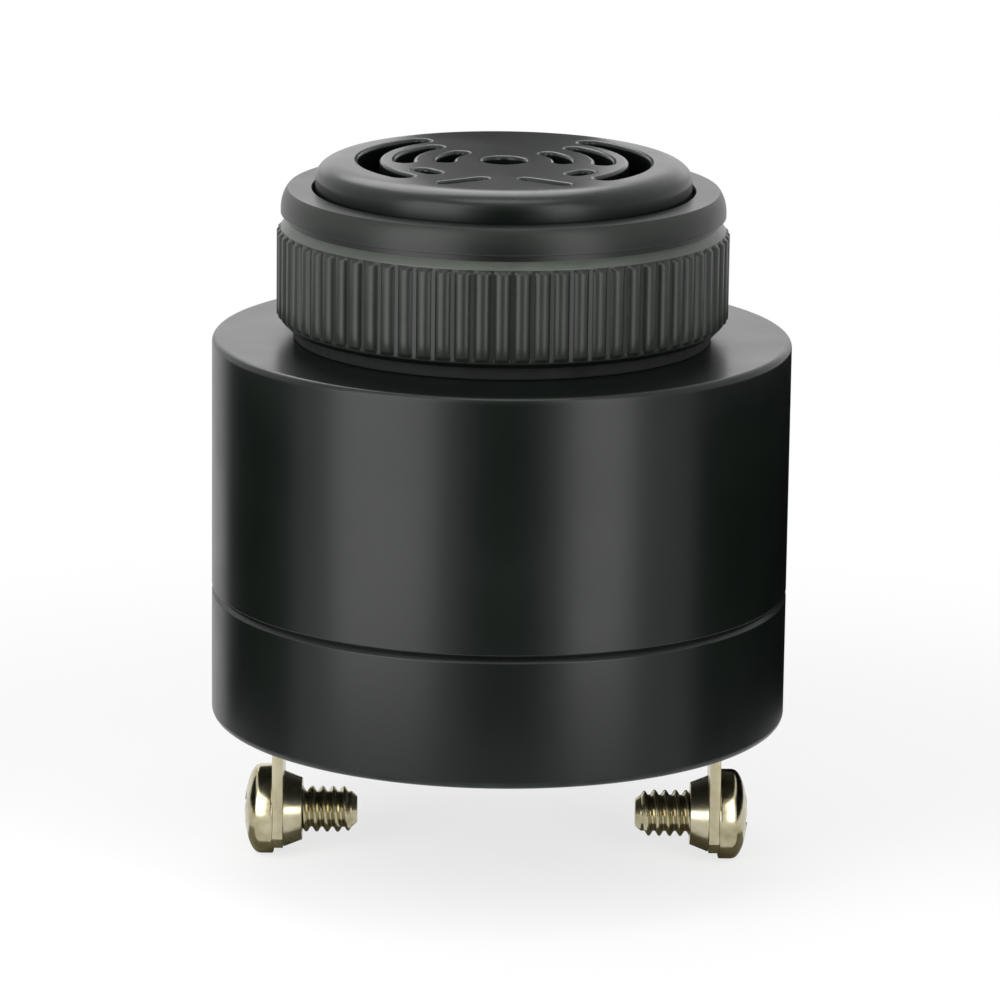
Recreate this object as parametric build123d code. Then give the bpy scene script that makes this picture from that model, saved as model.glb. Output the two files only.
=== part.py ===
from build123d import *
import math
import os

# A panel sounder: a piezo buzzer with a threaded neck, a knurled ring nut and two screw terminals.
# Lengths are in millimetres and angles in degrees.
# The origin is the centre of the shoulder, the flat ring that meets the back of the panel.
# +Z points out through the panel, towards the grille, and the two terminals lie on the X axis.

# Body
BODY_DIAMETER = 43.0
BODY_LENGTH = 28.8          # from the shoulder to the rear face
BODY_WALL = 2.2
SHOULDER_THICKNESS = 2.6
SHOULDER_EDGE_RADIUS = 0.6
RIB_COUNT_INSIDE = 6        # stiffening ribs under the shoulder
RIB_WIDTH_INSIDE = 1.2

# Rear cover
COVER_SKIRT = 9.7           # height of the part of the cover that shows
COVER_FLOOR = 2.0
COVER_EDGE_CHAMFER = 0.5
SEAM_CHAMFER = 0.3          # the groove that shows where the cover meets the housing
SPIGOT_RISE = 3.0           # how far the cover reaches up inside the housing
SPIGOT_WALL = 1.6
SPIGOT_CLEARANCE = 0.1

# Threaded neck with its grille
THREAD_DIAMETER = 28.0
NECK_HEIGHT = 13.2          # from the shoulder to the grille face
NECK_WALL = 2.5
RIM_STEP = 0.3              # how far the neck's plain end lies inside the thread
RIM_EDGE_RADIUS = 0.8
GRILLE_THICKNESS = 1.6
GRILLE_HOLE_DIAMETER = 3.2
GRILLE_CUT_MARGIN = 0.8     # how far a cutter passes the grille, each way

# Sound slots: inner radius, outer radius, first angle and last angle, from +X towards the back.
# Each is repeated in mirror image on the other side of the YZ plane.
ARC_SLOTS = [
    (3.7, 5.0, -15.0, 50.0),
    (6.7, 8.0, -12.0, 50.0),
    (6.7, 8.0, -50.0, -31.0),
    (9.2, 10.8, -47.0, 55.0),
]
# The pair of slanted slots beside the plain front sector
SLANT_SLOT_WIDTH = 0.9
SLANT_SLOT_START = (7.6, 12.0)    # radius and angle off the front
SLANT_SLOT_END = (10.3, 25.0)

# Panel gasket
GASKET_WIDTH = 1.35         # from its bore to its edge
GASKET_THICKNESS = 1.0
GASKET_CLEARANCE = 0.15

# Ring nut
NUT_WALL = 2.67             # from the bore to the tips of the ribs
NUT_HEIGHT = 10.1
NUT_THREAD_CLEARANCE = 0.08
NUT_RIB_COUNT = 72
NUT_RIB_DEPTH = 0.35
NUT_RIB_SHARE = 0.5         # width of a rib's tip as a share of its pitch
NUT_RIB_FLARE = 1.5         # width of a rib's foot as a multiple of its tip
NUT_KNURL_HEIGHT = 7.2      # from the nut's lower face to the top of the ribs
NUT_FOOT_CHAMFER = 0.4
NUT_LEDGE_RISE = 0.55       # height of the sloping ledge above the ribs
NUT_GROOVE_DEPTH = 0.3
NUT_GROOVE_HEIGHT = 0.25
NUT_CROWN_STEP = 0.45       # how far the crown lies inside the tips of the ribs
NUT_CROWN_RADIUS = 1.3
NUT_MOUTH_CHAMFER = 0.4

# Sound chamber and the piezo disc that it carries
CHAMBER_WALL = 1.6
CHAMBER_FRONT = 1.5
CHAMBER_LENGTH = 6.0
CHAMBER_HOLE_DIAMETER = 7.0
CAVITY_DEPTH = 2.5
LEDGE_WIDTH = 1.5
LOCATING_RING_WALL = 1.2
LOCATING_RING_HEIGHT = 3.0
LOCATING_CLEARANCE = 0.1
PLATE_CLEARANCE = 0.5       # between the edge of the brass disc and the chamber's wall
PIEZO_PLATE_DIAMETER = 27.0
PIEZO_PLATE_THICKNESS = 0.25
PIEZO_CERAMIC_DIAMETER = 19.6
PIEZO_CERAMIC_THICKNESS = 0.22
BEAD_WIDTH = 1.2
BEAD_HEIGHT = 1.0

# Circuit board on its posts
BOARD_EDGE_CLEARANCE = 0.6  # between the board and the inside of the spigot
BOARD_THICKNESS = 1.6
BOARD_STANDOFF = 5.6
BOARD_CUT_MARGIN = 1.0      # how far a cutter passes the board, each way
POST_DIAMETER = 3.6
POST_INSET = 2.8            # from the board's edge to the middle of a post
POST_ANGLES = [60.0, 120.0, 270.0]
LEAD_DIAMETER = 0.6
LEAD_HOLE_CLEARANCE = 0.1
LEAD_STUB = 1.2             # how far a lead sticks out behind the board
SOLDER_DIAMETER = 1.9
SOLDER_HEIGHT = 0.8

# Terminals: bent strips with a tapped collar
TERMINAL_INSET = 1.15       # from the inside of the spigot to the middle of the blade
TAB_WIDTH = 6.35
TAB_THICKNESS = 0.8
TAB_LENGTH = 10.5           # below the rear face
TAB_CORNER = 1.0
TAB_BEND_RADIUS = 0.8       # at the middle of the strip
TAB_SLOT_CLEARANCE = 0.1
FOOT_LENGTH = 3.8           # how far the foot runs inwards on the cover's floor
TAIL_WIDTH = 3.0
TAIL_STUB = 1.3             # how far the tail sticks out in front of the board
TAIL_SOLDER_DIAMETER = 4.5
COLLAR_LENGTH = 1.4
COLLAR_ROOT_WALL = 1.1      # wall round the tapped hole, where the collar leaves the blade
COLLAR_END_WALL = 0.55

# Terminal screws
SCREW_TO_TIP = 2.5          # from the screw's axis to the end of the blade
SCREW_DIAMETER = 3.5
SCREW_LENGTH = 6.35         # under the head
SCREW_TIP_CHAMFER = 0.4
SCREW_HEAD_DIAMETER = 6.8
SCREW_HEAD_HEIGHT = 2.2
SCREW_HEAD_EDGE = 1.0       # height of the head's straight side
SCREW_CLEARANCE = 0.05
CROSS_WIDTH = 0.9
CROSS_SPAN = 3.6
CROSS_DEPTH = 1.3

# Parts on the board, each placed by X and Y on the board's front face
COIL_PLACE = (0.0, 6.2)
COIL_DIAMETER = 8.0
COIL_HEIGHT = 8.0
COIL_FLANGE = 1.4
COIL_WAIST_DIAMETER = 3.6
COIL_WIRE_DEPTH = 1.6
COIL_LEAD_PITCH = 5.0
CAPACITOR_PLACE = (-9.4, 6.2)
CAPACITOR_DIAMETER = 6.3
CAPACITOR_HEIGHT = 8.6
CAPACITOR_TOP_RADIUS = 0.3
CAPACITOR_BEAD = 0.25       # depth of the rolled groove
CAPACITOR_BEAD_RISE = 1.0   # from the board to the groove
CAPACITOR_BEAD_SLOPE = 0.4  # height of each of its flanks
CAPACITOR_BEAD_FLOOR = 0.3
CAPACITOR_LEAD_PITCH = 2.5
TRANSISTOR_PLACE = (8.8, 5.6)
TRANSISTOR_DIAMETER = 4.6
TRANSISTOR_FLAT = 1.3       # distance of the flat front from the axis
TRANSISTOR_HEIGHT = 4.6
TRANSISTOR_RAISE = 2.0
TRANSISTOR_LEAD_PITCH = 1.6
CHIP_PLACE = (0.0, -3.6)
CHIP_LENGTH = 9.4
CHIP_WIDTH = 6.4
CHIP_THICKNESS = 3.2
CHIP_RAISE = 0.6
CHIP_NOTCH_DIAMETER = 1.6
CHIP_NOTCH_DEPTH = 0.5
CHIP_ROW_SPACING = 7.62
CHIP_PIN_PITCH = 2.54
CHIP_PINS_PER_ROW = 4
CHIP_PIN_WIDTH = 0.5
CHIP_PIN_THICKNESS = 0.25
RESISTOR_LINES = [-10.2, -13.4]   # Y of each resistor
RESISTOR_DIAMETER = 2.2
RESISTOR_LENGTH = 6.0
RESISTOR_CAP = 1.5          # length of each thicker end
RESISTOR_WAIST = 0.15       # how far the middle lies inside the ends
RESISTOR_LEAD_PITCH = 9.0
DIODE_PLACE = (9.0, -6.6)
DIODE_DIAMETER = 2.4
DIODE_LENGTH = 4.6
DIODE_LEAD_PITCH = 8.0
DISC_PLACES = [(-8.6, -5.0), (-8.0, -8.2)]
DISC_DIAMETER = 5.0
DISC_THICKNESS = 2.2
DISC_EDGE_RADIUS = 0.66
DISC_RAISE = 0.6
DISC_LEAD_PITCH = 2.5

# Three insulated leads between the piezo disc and the board
WIRE_DIAMETER = 0.9
WIRE_BEND_RADIUS = 2.4
WIRE_DISC_DROP = 2.4        # depth behind the disc where a lead turns up to it
WIRE_FALL = 2.1             # how much lower it turns over the board
WIRE_COIL_CLEARANCE = 0.55  # between the coil and the leads that pass it
WIRE_BOARD_Y = 11.6         # where the red and blue leads meet the board
WIRE_CERAMIC_Y = 2.0        # where they meet the ceramic
BLACK_WIRE_BOARD_Y = 13.0
WIRE_JOINT_DIAMETER = 1.8
WIRE_JOINT_HEIGHT = 0.6

# Places that follow from the sizes above
BODY_RADIUS = BODY_DIAMETER / 2
BODY_INNER_RADIUS = BODY_RADIUS - BODY_WALL
REAR_Z = -BODY_LENGTH
SEAM_Z = REAR_Z + COVER_SKIRT
FLOOR_Z = REAR_Z + COVER_FLOOR
THREAD_RADIUS = THREAD_DIAMETER / 2
NECK_INNER_RADIUS = THREAD_RADIUS - NECK_WALL
RIM_RADIUS = THREAD_RADIUS - RIM_STEP
SPIGOT_RADIUS = BODY_INNER_RADIUS - SPIGOT_CLEARANCE
SPIGOT_INNER_RADIUS = SPIGOT_RADIUS - SPIGOT_WALL
NUT_BORE_RADIUS = THREAD_RADIUS + NUT_THREAD_CLEARANCE
NUT_FOOT_Z = GASKET_THICKNESS
NUT_TOP_Z = NUT_FOOT_Z + NUT_HEIGHT
CHAMBER_INNER_RADIUS = PIEZO_PLATE_DIAMETER / 2 + PLATE_CLEARANCE
CHAMBER_RADIUS = CHAMBER_INNER_RADIUS + CHAMBER_WALL
CHAMBER_TOP_Z = -SHOULDER_THICKNESS
PLATE_TOP_Z = CHAMBER_TOP_Z - CHAMBER_FRONT - CAVITY_DEPTH
PLATE_BACK_Z = PLATE_TOP_Z - PIEZO_PLATE_THICKNESS
CERAMIC_BACK_Z = PLATE_BACK_Z - PIEZO_CERAMIC_THICKNESS
BOARD_RADIUS = SPIGOT_INNER_RADIUS - BOARD_EDGE_CLEARANCE
BOARD_BACK_Z = FLOOR_Z + BOARD_STANDOFF
BOARD_FRONT_Z = BOARD_BACK_Z + BOARD_THICKNESS
BLADE_X = SPIGOT_INNER_RADIUS - TERMINAL_INSET
SCREW_Z = REAR_Z - TAB_LENGTH + SCREW_TO_TIP
SCREW_BORE_RADIUS = SCREW_DIAMETER / 2 + SCREW_CLEARANCE
TAIL_X = BLADE_X - FOOT_LENGTH
RESISTOR_Z = BOARD_FRONT_Z + RESISTOR_DIAMETER / 2
DIODE_Z = BOARD_FRONT_Z + DIODE_DIAMETER / 2
WIRE_SIDE_X = (COIL_DIAMETER + WIRE_DIAMETER) / 2 + WIRE_COIL_CLEARANCE
BRASS_JOINT_Y = (PIEZO_CERAMIC_DIAMETER / 2 + CHAMBER_INNER_RADIUS - BEAD_WIDTH) / 2
WIRE_ROUTES = {             # place on the board, then place on the disc
    "lead_red": ((WIRE_SIDE_X, WIRE_BOARD_Y), (WIRE_SIDE_X, WIRE_CERAMIC_Y)),
    "lead_blue": ((-WIRE_SIDE_X, WIRE_BOARD_Y), (-WIRE_SIDE_X, WIRE_CERAMIC_Y)),
    "lead_black": ((0.0, BLACK_WIRE_BOARD_Y), (0.0, BRASS_JOINT_Y)),
}


def turned(outline):
    """A solid of revolution about Z. Each corner is radius and height, and may add a fillet radius."""
    corners = [(corner[0], corner[1]) for corner in outline]
    face = make_face(Plane.XZ * Polyline(*corners, close=True))
    for corner in outline:
        if len(corner) == 3:
            place = Vector(corner[0], 0, corner[1])
            nearest = min(face.vertices(), key=lambda vertex: (Vector(*vertex) - place).length)
            face = fillet(nearest, corner[2])
    return revolve(face, Axis.Z)


def disc(diameter, low, high, place=(0.0, 0.0)):
    """A plain upright cylinder between two heights."""
    post = Cylinder(diameter / 2, high - low, align=(Align.CENTER, Align.CENTER, Align.MIN))
    return Pos(place[0], place[1], low) * post


def tube(outer, inner, low, high, place=(0.0, 0.0)):
    """An upright ring of rectangular section."""
    return disc(outer, low, high, place) - disc(inner, low, high, place)


def block(size_x, size_y, low, high, place=(0.0, 0.0)):
    """An upright box between two heights."""
    body = Box(size_x, size_y, high - low, align=(Align.CENTER, Align.CENTER, Align.MIN))
    return Pos(place[0], place[1], low) * body


def group(solids):
    """Several separate solids kept in one node."""
    return Compound(children=list(solids))


def mirrored(shape):
    """The same shape on the other side of the YZ plane."""
    return mirror(shape, about=Plane.YZ)


def polar(radius, angle):
    """A point in the XY plane, by radius and angle from +X."""
    turn = math.radians(angle)
    return (radius * math.cos(turn), radius * math.sin(turn))


# Grille

def arc_slot(inner, outer, first, last):
    """A curved slot with round ends, as a flat shape."""
    width = outer - inner
    middle = (outer + inner) / 2
    end_turn = math.degrees(width / 2 / middle)
    span = last - first - 2 * end_turn
    return SlotArc(CenterArc((0, 0), middle, first + end_turn, span), width)


def straight_slot(start, end, width):
    """A straight slot, as a flat shape, whose round ends are centred on two points."""
    run_x = end[0] - start[0]
    run_y = end[1] - start[1]
    middle = ((start[0] + end[0]) / 2, (start[1] + end[1]) / 2)
    turn = math.degrees(math.atan2(run_y, run_x))
    return Pos(*middle) * Rot(0, 0, turn) * SlotCenterToCenter(math.hypot(run_x, run_y), width)


def slant_slot():
    """The straight slot to the right of the plain front sector, as a flat shape."""
    start = polar(SLANT_SLOT_START[0], SLANT_SLOT_START[1] - 90)
    end = polar(SLANT_SLOT_END[0], SLANT_SLOT_END[1] - 90)
    return straight_slot(start, end, SLANT_SLOT_WIDTH)


def grille_cuts():
    """Every opening in the grille, as solids that pass right through the face."""
    right = [arc_slot(*slot) for slot in ARC_SLOTS]
    right.append(slant_slot())
    depth = GRILLE_THICKNESS + 2 * GRILLE_CUT_MARGIN
    low = NECK_HEIGHT - GRILLE_THICKNESS - GRILLE_CUT_MARGIN
    cuts = disc(GRILLE_HOLE_DIAMETER, low, low + depth)
    for flat in right:
        cutter = extrude(Pos(0, 0, low) * flat, depth)
        cuts += cutter
        cuts += mirrored(cutter)
    return cuts


# Moulded shells

def housing():
    """Side wall, shoulder, threaded neck and grille as one moulding, with its ribs and locating ring."""
    ring_inner = CHAMBER_RADIUS + LOCATING_CLEARANCE
    ring_outer = ring_inner + LOCATING_RING_WALL
    ring_z = -SHOULDER_THICKNESS - LOCATING_RING_HEIGHT
    ceiling_z = NECK_HEIGHT - GRILLE_THICKNESS
    shell = turned([
        (0, NECK_HEIGHT),
        (RIM_RADIUS, NECK_HEIGHT, RIM_EDGE_RADIUS),
        (RIM_RADIUS, NUT_TOP_Z),
        (THREAD_RADIUS, NUT_TOP_Z),
        (THREAD_RADIUS, 0),
        (BODY_RADIUS, 0, SHOULDER_EDGE_RADIUS),
        (BODY_RADIUS, SEAM_Z + SEAM_CHAMFER),
        (BODY_RADIUS - SEAM_CHAMFER, SEAM_Z),
        (BODY_INNER_RADIUS, SEAM_Z),
        (BODY_INNER_RADIUS, -SHOULDER_THICKNESS),
        (ring_outer, -SHOULDER_THICKNESS),
        (ring_outer, ring_z),
        (ring_inner, ring_z),
        (ring_inner, -SHOULDER_THICKNESS),
        (NECK_INNER_RADIUS, -SHOULDER_THICKNESS),
        (NECK_INNER_RADIUS, ceiling_z),
        (0, ceiling_z),
    ])
    rib_length = BODY_INNER_RADIUS - ring_outer
    rib_middle = ring_outer + rib_length / 2
    overlap = BODY_WALL / 2 + LOCATING_RING_WALL / 2
    rib = block(rib_length + overlap, RIB_WIDTH_INSIDE, ring_z, -SHOULDER_THICKNESS / 2, (rib_middle, 0))
    for count in range(RIB_COUNT_INSIDE):
        shell += Rot(0, 0, (count + 0.5) * 360 / RIB_COUNT_INSIDE) * rib
    return shell - grille_cuts()


def post_places():
    """The middles of the board's posts."""
    return [polar(BOARD_RADIUS - POST_INSET, angle) for angle in POST_ANGLES]


def rear_cover():
    """The cup that closes the back, with a spigot, the board's posts and a slot for each terminal."""
    cup = turned([
        (0, REAR_Z),
        (BODY_RADIUS - COVER_EDGE_CHAMFER, REAR_Z),
        (BODY_RADIUS, REAR_Z + COVER_EDGE_CHAMFER),
        (BODY_RADIUS, SEAM_Z - SEAM_CHAMFER),
        (BODY_RADIUS - SEAM_CHAMFER, SEAM_Z),
        (SPIGOT_RADIUS, SEAM_Z),
        (SPIGOT_RADIUS, SEAM_Z + SPIGOT_RISE),
        (SPIGOT_INNER_RADIUS, SEAM_Z + SPIGOT_RISE),
        (SPIGOT_INNER_RADIUS, FLOOR_Z),
        (0, FLOOR_Z),
    ])
    for place in post_places():
        cup += disc(POST_DIAMETER, FLOOR_Z - COVER_FLOOR / 2, BOARD_BACK_Z, place)
    slot_inner = BLADE_X - TAB_BEND_RADIUS
    slot_outer = BLADE_X + TAB_THICKNESS / 2 + TAB_SLOT_CLEARANCE
    slot_middle = (slot_inner + slot_outer) / 2
    slot_y = TAB_WIDTH + 2 * TAB_SLOT_CLEARANCE
    for side in (-1, 1):
        cup -= block(slot_outer - slot_inner, slot_y, REAR_Z - COVER_FLOOR, FLOOR_Z + COVER_FLOOR,
                     (side * slot_middle, 0))
    return cup


# Ring nut and gasket

def ring_nut():
    """The ring nut: a ribbed lower band, a sloping ledge, a fine groove and a smooth rounded crown."""
    outer = NUT_BORE_RADIUS + NUT_WALL
    root = outer - NUT_RIB_DEPTH
    crown = outer - NUT_CROWN_STEP
    knurl_z = NUT_FOOT_Z + NUT_KNURL_HEIGHT
    ledge_z = knurl_z + NUT_LEDGE_RISE
    groove_z = ledge_z + NUT_GROOVE_HEIGHT
    waist = crown - NUT_GROOVE_DEPTH
    core = turned([
        (NUT_BORE_RADIUS, NUT_FOOT_Z),
        (root - NUT_FOOT_CHAMFER, NUT_FOOT_Z),
        (root, NUT_FOOT_Z + NUT_FOOT_CHAMFER),
        (root, knurl_z),
        (waist, ledge_z),
        (waist, groove_z),
        (crown, groove_z),
        (crown, NUT_TOP_Z, NUT_CROWN_RADIUS),
        (NUT_BORE_RADIUS + NUT_MOUTH_CHAMFER, NUT_TOP_Z),
        (NUT_BORE_RADIUS, NUT_TOP_Z - NUT_MOUTH_CHAMFER),
    ])
    band = turned([
        (root - NUT_RIB_DEPTH, NUT_FOOT_Z + NUT_FOOT_CHAMFER),
        (root, NUT_FOOT_Z + NUT_FOOT_CHAMFER),
        (outer, NUT_FOOT_Z + NUT_FOOT_CHAMFER + NUT_RIB_DEPTH),
        (outer, knurl_z - NUT_RIB_DEPTH),
        (root, knurl_z),
        (root - NUT_RIB_DEPTH, knurl_z),
    ])
    half_turn = NUT_RIB_SHARE * 180 / NUT_RIB_COUNT
    foot_turn = half_turn * NUT_RIB_FLARE
    outline = []
    for count in range(NUT_RIB_COUNT):
        middle = count * 360 / NUT_RIB_COUNT
        outline.append(polar(root - NUT_RIB_DEPTH / 2, middle - foot_turn))
        outline.append(polar(outer + NUT_RIB_DEPTH, middle - half_turn))
        outline.append(polar(outer + NUT_RIB_DEPTH, middle + half_turn))
        outline.append(polar(root - NUT_RIB_DEPTH / 2, middle + foot_turn))
    star = extrude(Pos(0, 0, NUT_FOOT_Z) * make_face(Polyline(*outline, close=True)), NUT_HEIGHT)
    return core + (band & star)


def panel_gasket():
    """The flat rubber washer between the shoulder and the panel."""
    bore = THREAD_DIAMETER + 2 * GASKET_CLEARANCE
    return tube(bore + 2 * GASKET_WIDTH, bore, 0, GASKET_THICKNESS)


# Sound chamber and piezo disc

def sound_chamber():
    """The cup behind the neck: a front wall with the sound hole, and a ledge for the piezo disc."""
    ledge_radius = PIEZO_PLATE_DIAMETER / 2 - LEDGE_WIDTH
    return turned([
        (CHAMBER_HOLE_DIAMETER / 2, CHAMBER_TOP_Z),
        (CHAMBER_RADIUS, CHAMBER_TOP_Z),
        (CHAMBER_RADIUS, CHAMBER_TOP_Z - CHAMBER_LENGTH),
        (CHAMBER_INNER_RADIUS, CHAMBER_TOP_Z - CHAMBER_LENGTH),
        (CHAMBER_INNER_RADIUS, PLATE_TOP_Z),
        (ledge_radius, PLATE_TOP_Z),
        (ledge_radius, CHAMBER_TOP_Z - CHAMBER_FRONT),
        (CHAMBER_HOLE_DIAMETER / 2, CHAMBER_TOP_Z - CHAMBER_FRONT),
    ])


def piezo_plate():
    """The brass disc, which lies on the chamber's ledge."""
    return disc(PIEZO_PLATE_DIAMETER, PLATE_BACK_Z, PLATE_TOP_Z)


def piezo_ceramic():
    """The ceramic disc on the back of the brass."""
    return disc(PIEZO_CERAMIC_DIAMETER, CERAMIC_BACK_Z, PLATE_BACK_Z)


def silicone_bead():
    """The bead in the corner between the back of the brass disc and the chamber's wall."""
    return turned([
        (CHAMBER_INNER_RADIUS, PLATE_BACK_Z),
        (CHAMBER_INNER_RADIUS - BEAD_WIDTH, PLATE_BACK_Z),
        (CHAMBER_INNER_RADIUS, PLATE_BACK_Z - BEAD_HEIGHT),
    ])


# Parts on the board: each function gives its solids, and its leads come from one list of places

def capacitor_lead_places():
    """The places of the capacitor's two legs."""
    half = CAPACITOR_LEAD_PITCH / 2
    return [(CAPACITOR_PLACE[0] + side * half, CAPACITOR_PLACE[1]) for side in (-1, 1)]


def coil_lead_places():
    """The places of the coil's two legs."""
    half = COIL_LEAD_PITCH / 2
    return [(COIL_PLACE[0] + side * half, COIL_PLACE[1]) for side in (-1, 1)]


def transistor_lead_places():
    """The places of the transistor's three legs, in one row."""
    pitch = TRANSISTOR_LEAD_PITCH
    return [(TRANSISTOR_PLACE[0] + step * pitch, TRANSISTOR_PLACE[1]) for step in (-1, 0, 1)]


def resistor_lead_places():
    """The places of the resistors' legs, two for each."""
    half = RESISTOR_LEAD_PITCH / 2
    return [(side * half, line) for line in RESISTOR_LINES for side in (-1, 1)]


def diode_lead_places():
    """The places of the diode's two legs."""
    half = DIODE_LEAD_PITCH / 2
    return [(DIODE_PLACE[0], DIODE_PLACE[1] + side * half) for side in (-1, 1)]


def disc_lead_places():
    """The places of the disc capacitors' legs, two for each."""
    half = DISC_LEAD_PITCH / 2
    return [(place[0] + side * half, place[1]) for place in DISC_PLACES for side in (-1, 1)]


def chip_pin_places():
    """The places of the chip's pins, in two rows."""
    first = -(CHIP_PINS_PER_ROW - 1) / 2
    places = []
    for row in (-1, 1):
        for count in range(CHIP_PINS_PER_ROW):
            x = CHIP_PLACE[0] + (first + count) * CHIP_PIN_PITCH
            places.append((x, CHIP_PLACE[1] + row * CHIP_ROW_SPACING / 2))
    return places


def upright_leads():
    """Each straight lead: its place and the height where it enters its part."""
    leads = [(place, BOARD_FRONT_Z) for place in capacitor_lead_places() + coil_lead_places()]
    leads += [(place, BOARD_FRONT_Z + TRANSISTOR_RAISE) for place in transistor_lead_places()]
    leads += [(place, BOARD_FRONT_Z + DISC_RAISE) for place in disc_lead_places()]
    return leads


def all_hole_places():
    """Every round hole in the board that carries a lead or a pin."""
    places = [lead[0] for lead in upright_leads()]
    return places + resistor_lead_places() + diode_lead_places() + chip_pin_places()


def circuit_board():
    """The round board with its lead holes and the two slots for the terminals' tails."""
    board = disc(2 * BOARD_RADIUS, BOARD_BACK_Z, BOARD_FRONT_Z)
    low = BOARD_BACK_Z - BOARD_CUT_MARGIN
    high = BOARD_FRONT_Z + BOARD_CUT_MARGIN
    hole = LEAD_DIAMETER + 2 * LEAD_HOLE_CLEARANCE
    for place in all_hole_places():
        board -= disc(hole, low, high, place)
    slot_x = TAB_THICKNESS + 2 * TAB_SLOT_CLEARANCE
    slot_y = TAIL_WIDTH + 2 * TAB_SLOT_CLEARANCE
    for side in (-1, 1):
        board -= block(slot_x, slot_y, low, high, (side * TAIL_X, 0))
    return board


def coil_core():
    """The drum core: two flanges on a waist."""
    waist = COIL_WAIST_DIAMETER / 2
    outer = COIL_DIAMETER / 2
    low = BOARD_FRONT_Z
    high = BOARD_FRONT_Z + COIL_HEIGHT
    drum = turned([
        (0, low), (outer, low), (outer, low + COIL_FLANGE), (waist, low + COIL_FLANGE),
        (waist, high - COIL_FLANGE), (outer, high - COIL_FLANGE), (outer, high), (0, high),
    ])
    return Pos(COIL_PLACE[0], COIL_PLACE[1], 0) * drum


def coil_winding():
    """The enamelled wire on the waist of the drum, as one solid ring."""
    low = BOARD_FRONT_Z + COIL_FLANGE
    high = BOARD_FRONT_Z + COIL_HEIGHT - COIL_FLANGE
    outer = COIL_WAIST_DIAMETER + 2 * COIL_WIRE_DEPTH
    return tube(outer, COIL_WAIST_DIAMETER, low, high, COIL_PLACE)


def capacitor():
    """The electrolytic capacitor's can, with the rolled bead near its foot."""
    radius = CAPACITOR_DIAMETER / 2
    low = BOARD_FRONT_Z
    high = low + CAPACITOR_HEIGHT
    neck = radius - CAPACITOR_BEAD
    bead_z = low + CAPACITOR_BEAD_RISE
    neck_z = bead_z + CAPACITOR_BEAD_SLOPE
    neck_top_z = neck_z + CAPACITOR_BEAD_FLOOR
    can = turned([
        (0, low), (radius, low), (radius, bead_z), (neck, neck_z), (neck, neck_top_z),
        (radius, neck_top_z + CAPACITOR_BEAD_SLOPE), (radius, high, CAPACITOR_TOP_RADIUS), (0, high),
    ])
    return Pos(CAPACITOR_PLACE[0], CAPACITOR_PLACE[1], 0) * can


def transistor():
    """The transistor's body: a short upright D."""
    low = BOARD_FRONT_Z + TRANSISTOR_RAISE
    body = disc(TRANSISTOR_DIAMETER, low, low + TRANSISTOR_HEIGHT, TRANSISTOR_PLACE)
    waste_y = TRANSISTOR_PLACE[1] - TRANSISTOR_FLAT - TRANSISTOR_DIAMETER / 2
    waste = block(2 * TRANSISTOR_DIAMETER, TRANSISTOR_DIAMETER, BOARD_FRONT_Z,
                  low + 2 * TRANSISTOR_HEIGHT, (TRANSISTOR_PLACE[0], waste_y))
    return body - waste


def driver_chip():
    """The chip's moulded body with the half-round notch at one end."""
    low = BOARD_FRONT_Z + CHIP_RAISE
    high = low + CHIP_THICKNESS
    body = block(CHIP_LENGTH, CHIP_WIDTH, low, high, CHIP_PLACE)
    notch_x = CHIP_PLACE[0] - CHIP_LENGTH / 2
    notch = disc(CHIP_NOTCH_DIAMETER, high - CHIP_NOTCH_DEPTH, high + CHIP_NOTCH_DEPTH,
                 (notch_x, CHIP_PLACE[1]))
    return body - notch


def driver_pins():
    """The chip's pins: each leaves the side of the body, turns down and passes through the board."""
    shoulder_z = BOARD_FRONT_Z + CHIP_RAISE + CHIP_THICKNESS / 2
    side_y = CHIP_WIDTH / 2
    pins = []
    for x, y in chip_pin_places():
        row = 1 if y > CHIP_PLACE[1] else -1
        leg = block(CHIP_PIN_WIDTH, CHIP_PIN_THICKNESS, BOARD_BACK_Z - LEAD_STUB, shoulder_z, (x, y))
        inner_y = CHIP_PLACE[1] + row * side_y
        outer_y = y + row * CHIP_PIN_THICKNESS / 2
        arm = block(CHIP_PIN_WIDTH, abs(outer_y - inner_y), shoulder_z - CHIP_PIN_THICKNESS, shoulder_z,
                    (x, (inner_y + outer_y) / 2))
        pins.append((leg + arm).solid())
    return group(pins)


def resistors():
    """Two axial resistors, with the thicker ends that their caps give them."""
    outer = RESISTOR_DIAMETER / 2
    inner = outer - RESISTOR_WAIST
    half = RESISTOR_LENGTH / 2
    step = half - RESISTOR_CAP
    body = Rot(0, 90, 0) * turned([
        (0, -half), (outer, -half, RESISTOR_WAIST), (outer, -step), (inner, -step),
        (inner, step), (outer, step), (outer, half, RESISTOR_WAIST), (0, half),
    ])
    return group([Pos(0, line, RESISTOR_Z) * body for line in RESISTOR_LINES])


def diode():
    """The diode's plain cylinder."""
    body = Rot(90, 0, 0) * Cylinder(DIODE_DIAMETER / 2, DIODE_LENGTH)
    return Pos(DIODE_PLACE[0], DIODE_PLACE[1], DIODE_Z) * body


def disc_capacitors():
    """Two ceramic disc capacitors standing on edge."""
    middle_z = BOARD_FRONT_Z + DISC_RAISE + DISC_DIAMETER / 2
    body = Rot(90, 0, 0) * Cylinder(DISC_DIAMETER / 2, DISC_THICKNESS)
    body = fillet(body.edges(), DISC_EDGE_RADIUS)
    return group([Pos(place[0], place[1], middle_z) * body for place in DISC_PLACES])


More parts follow.
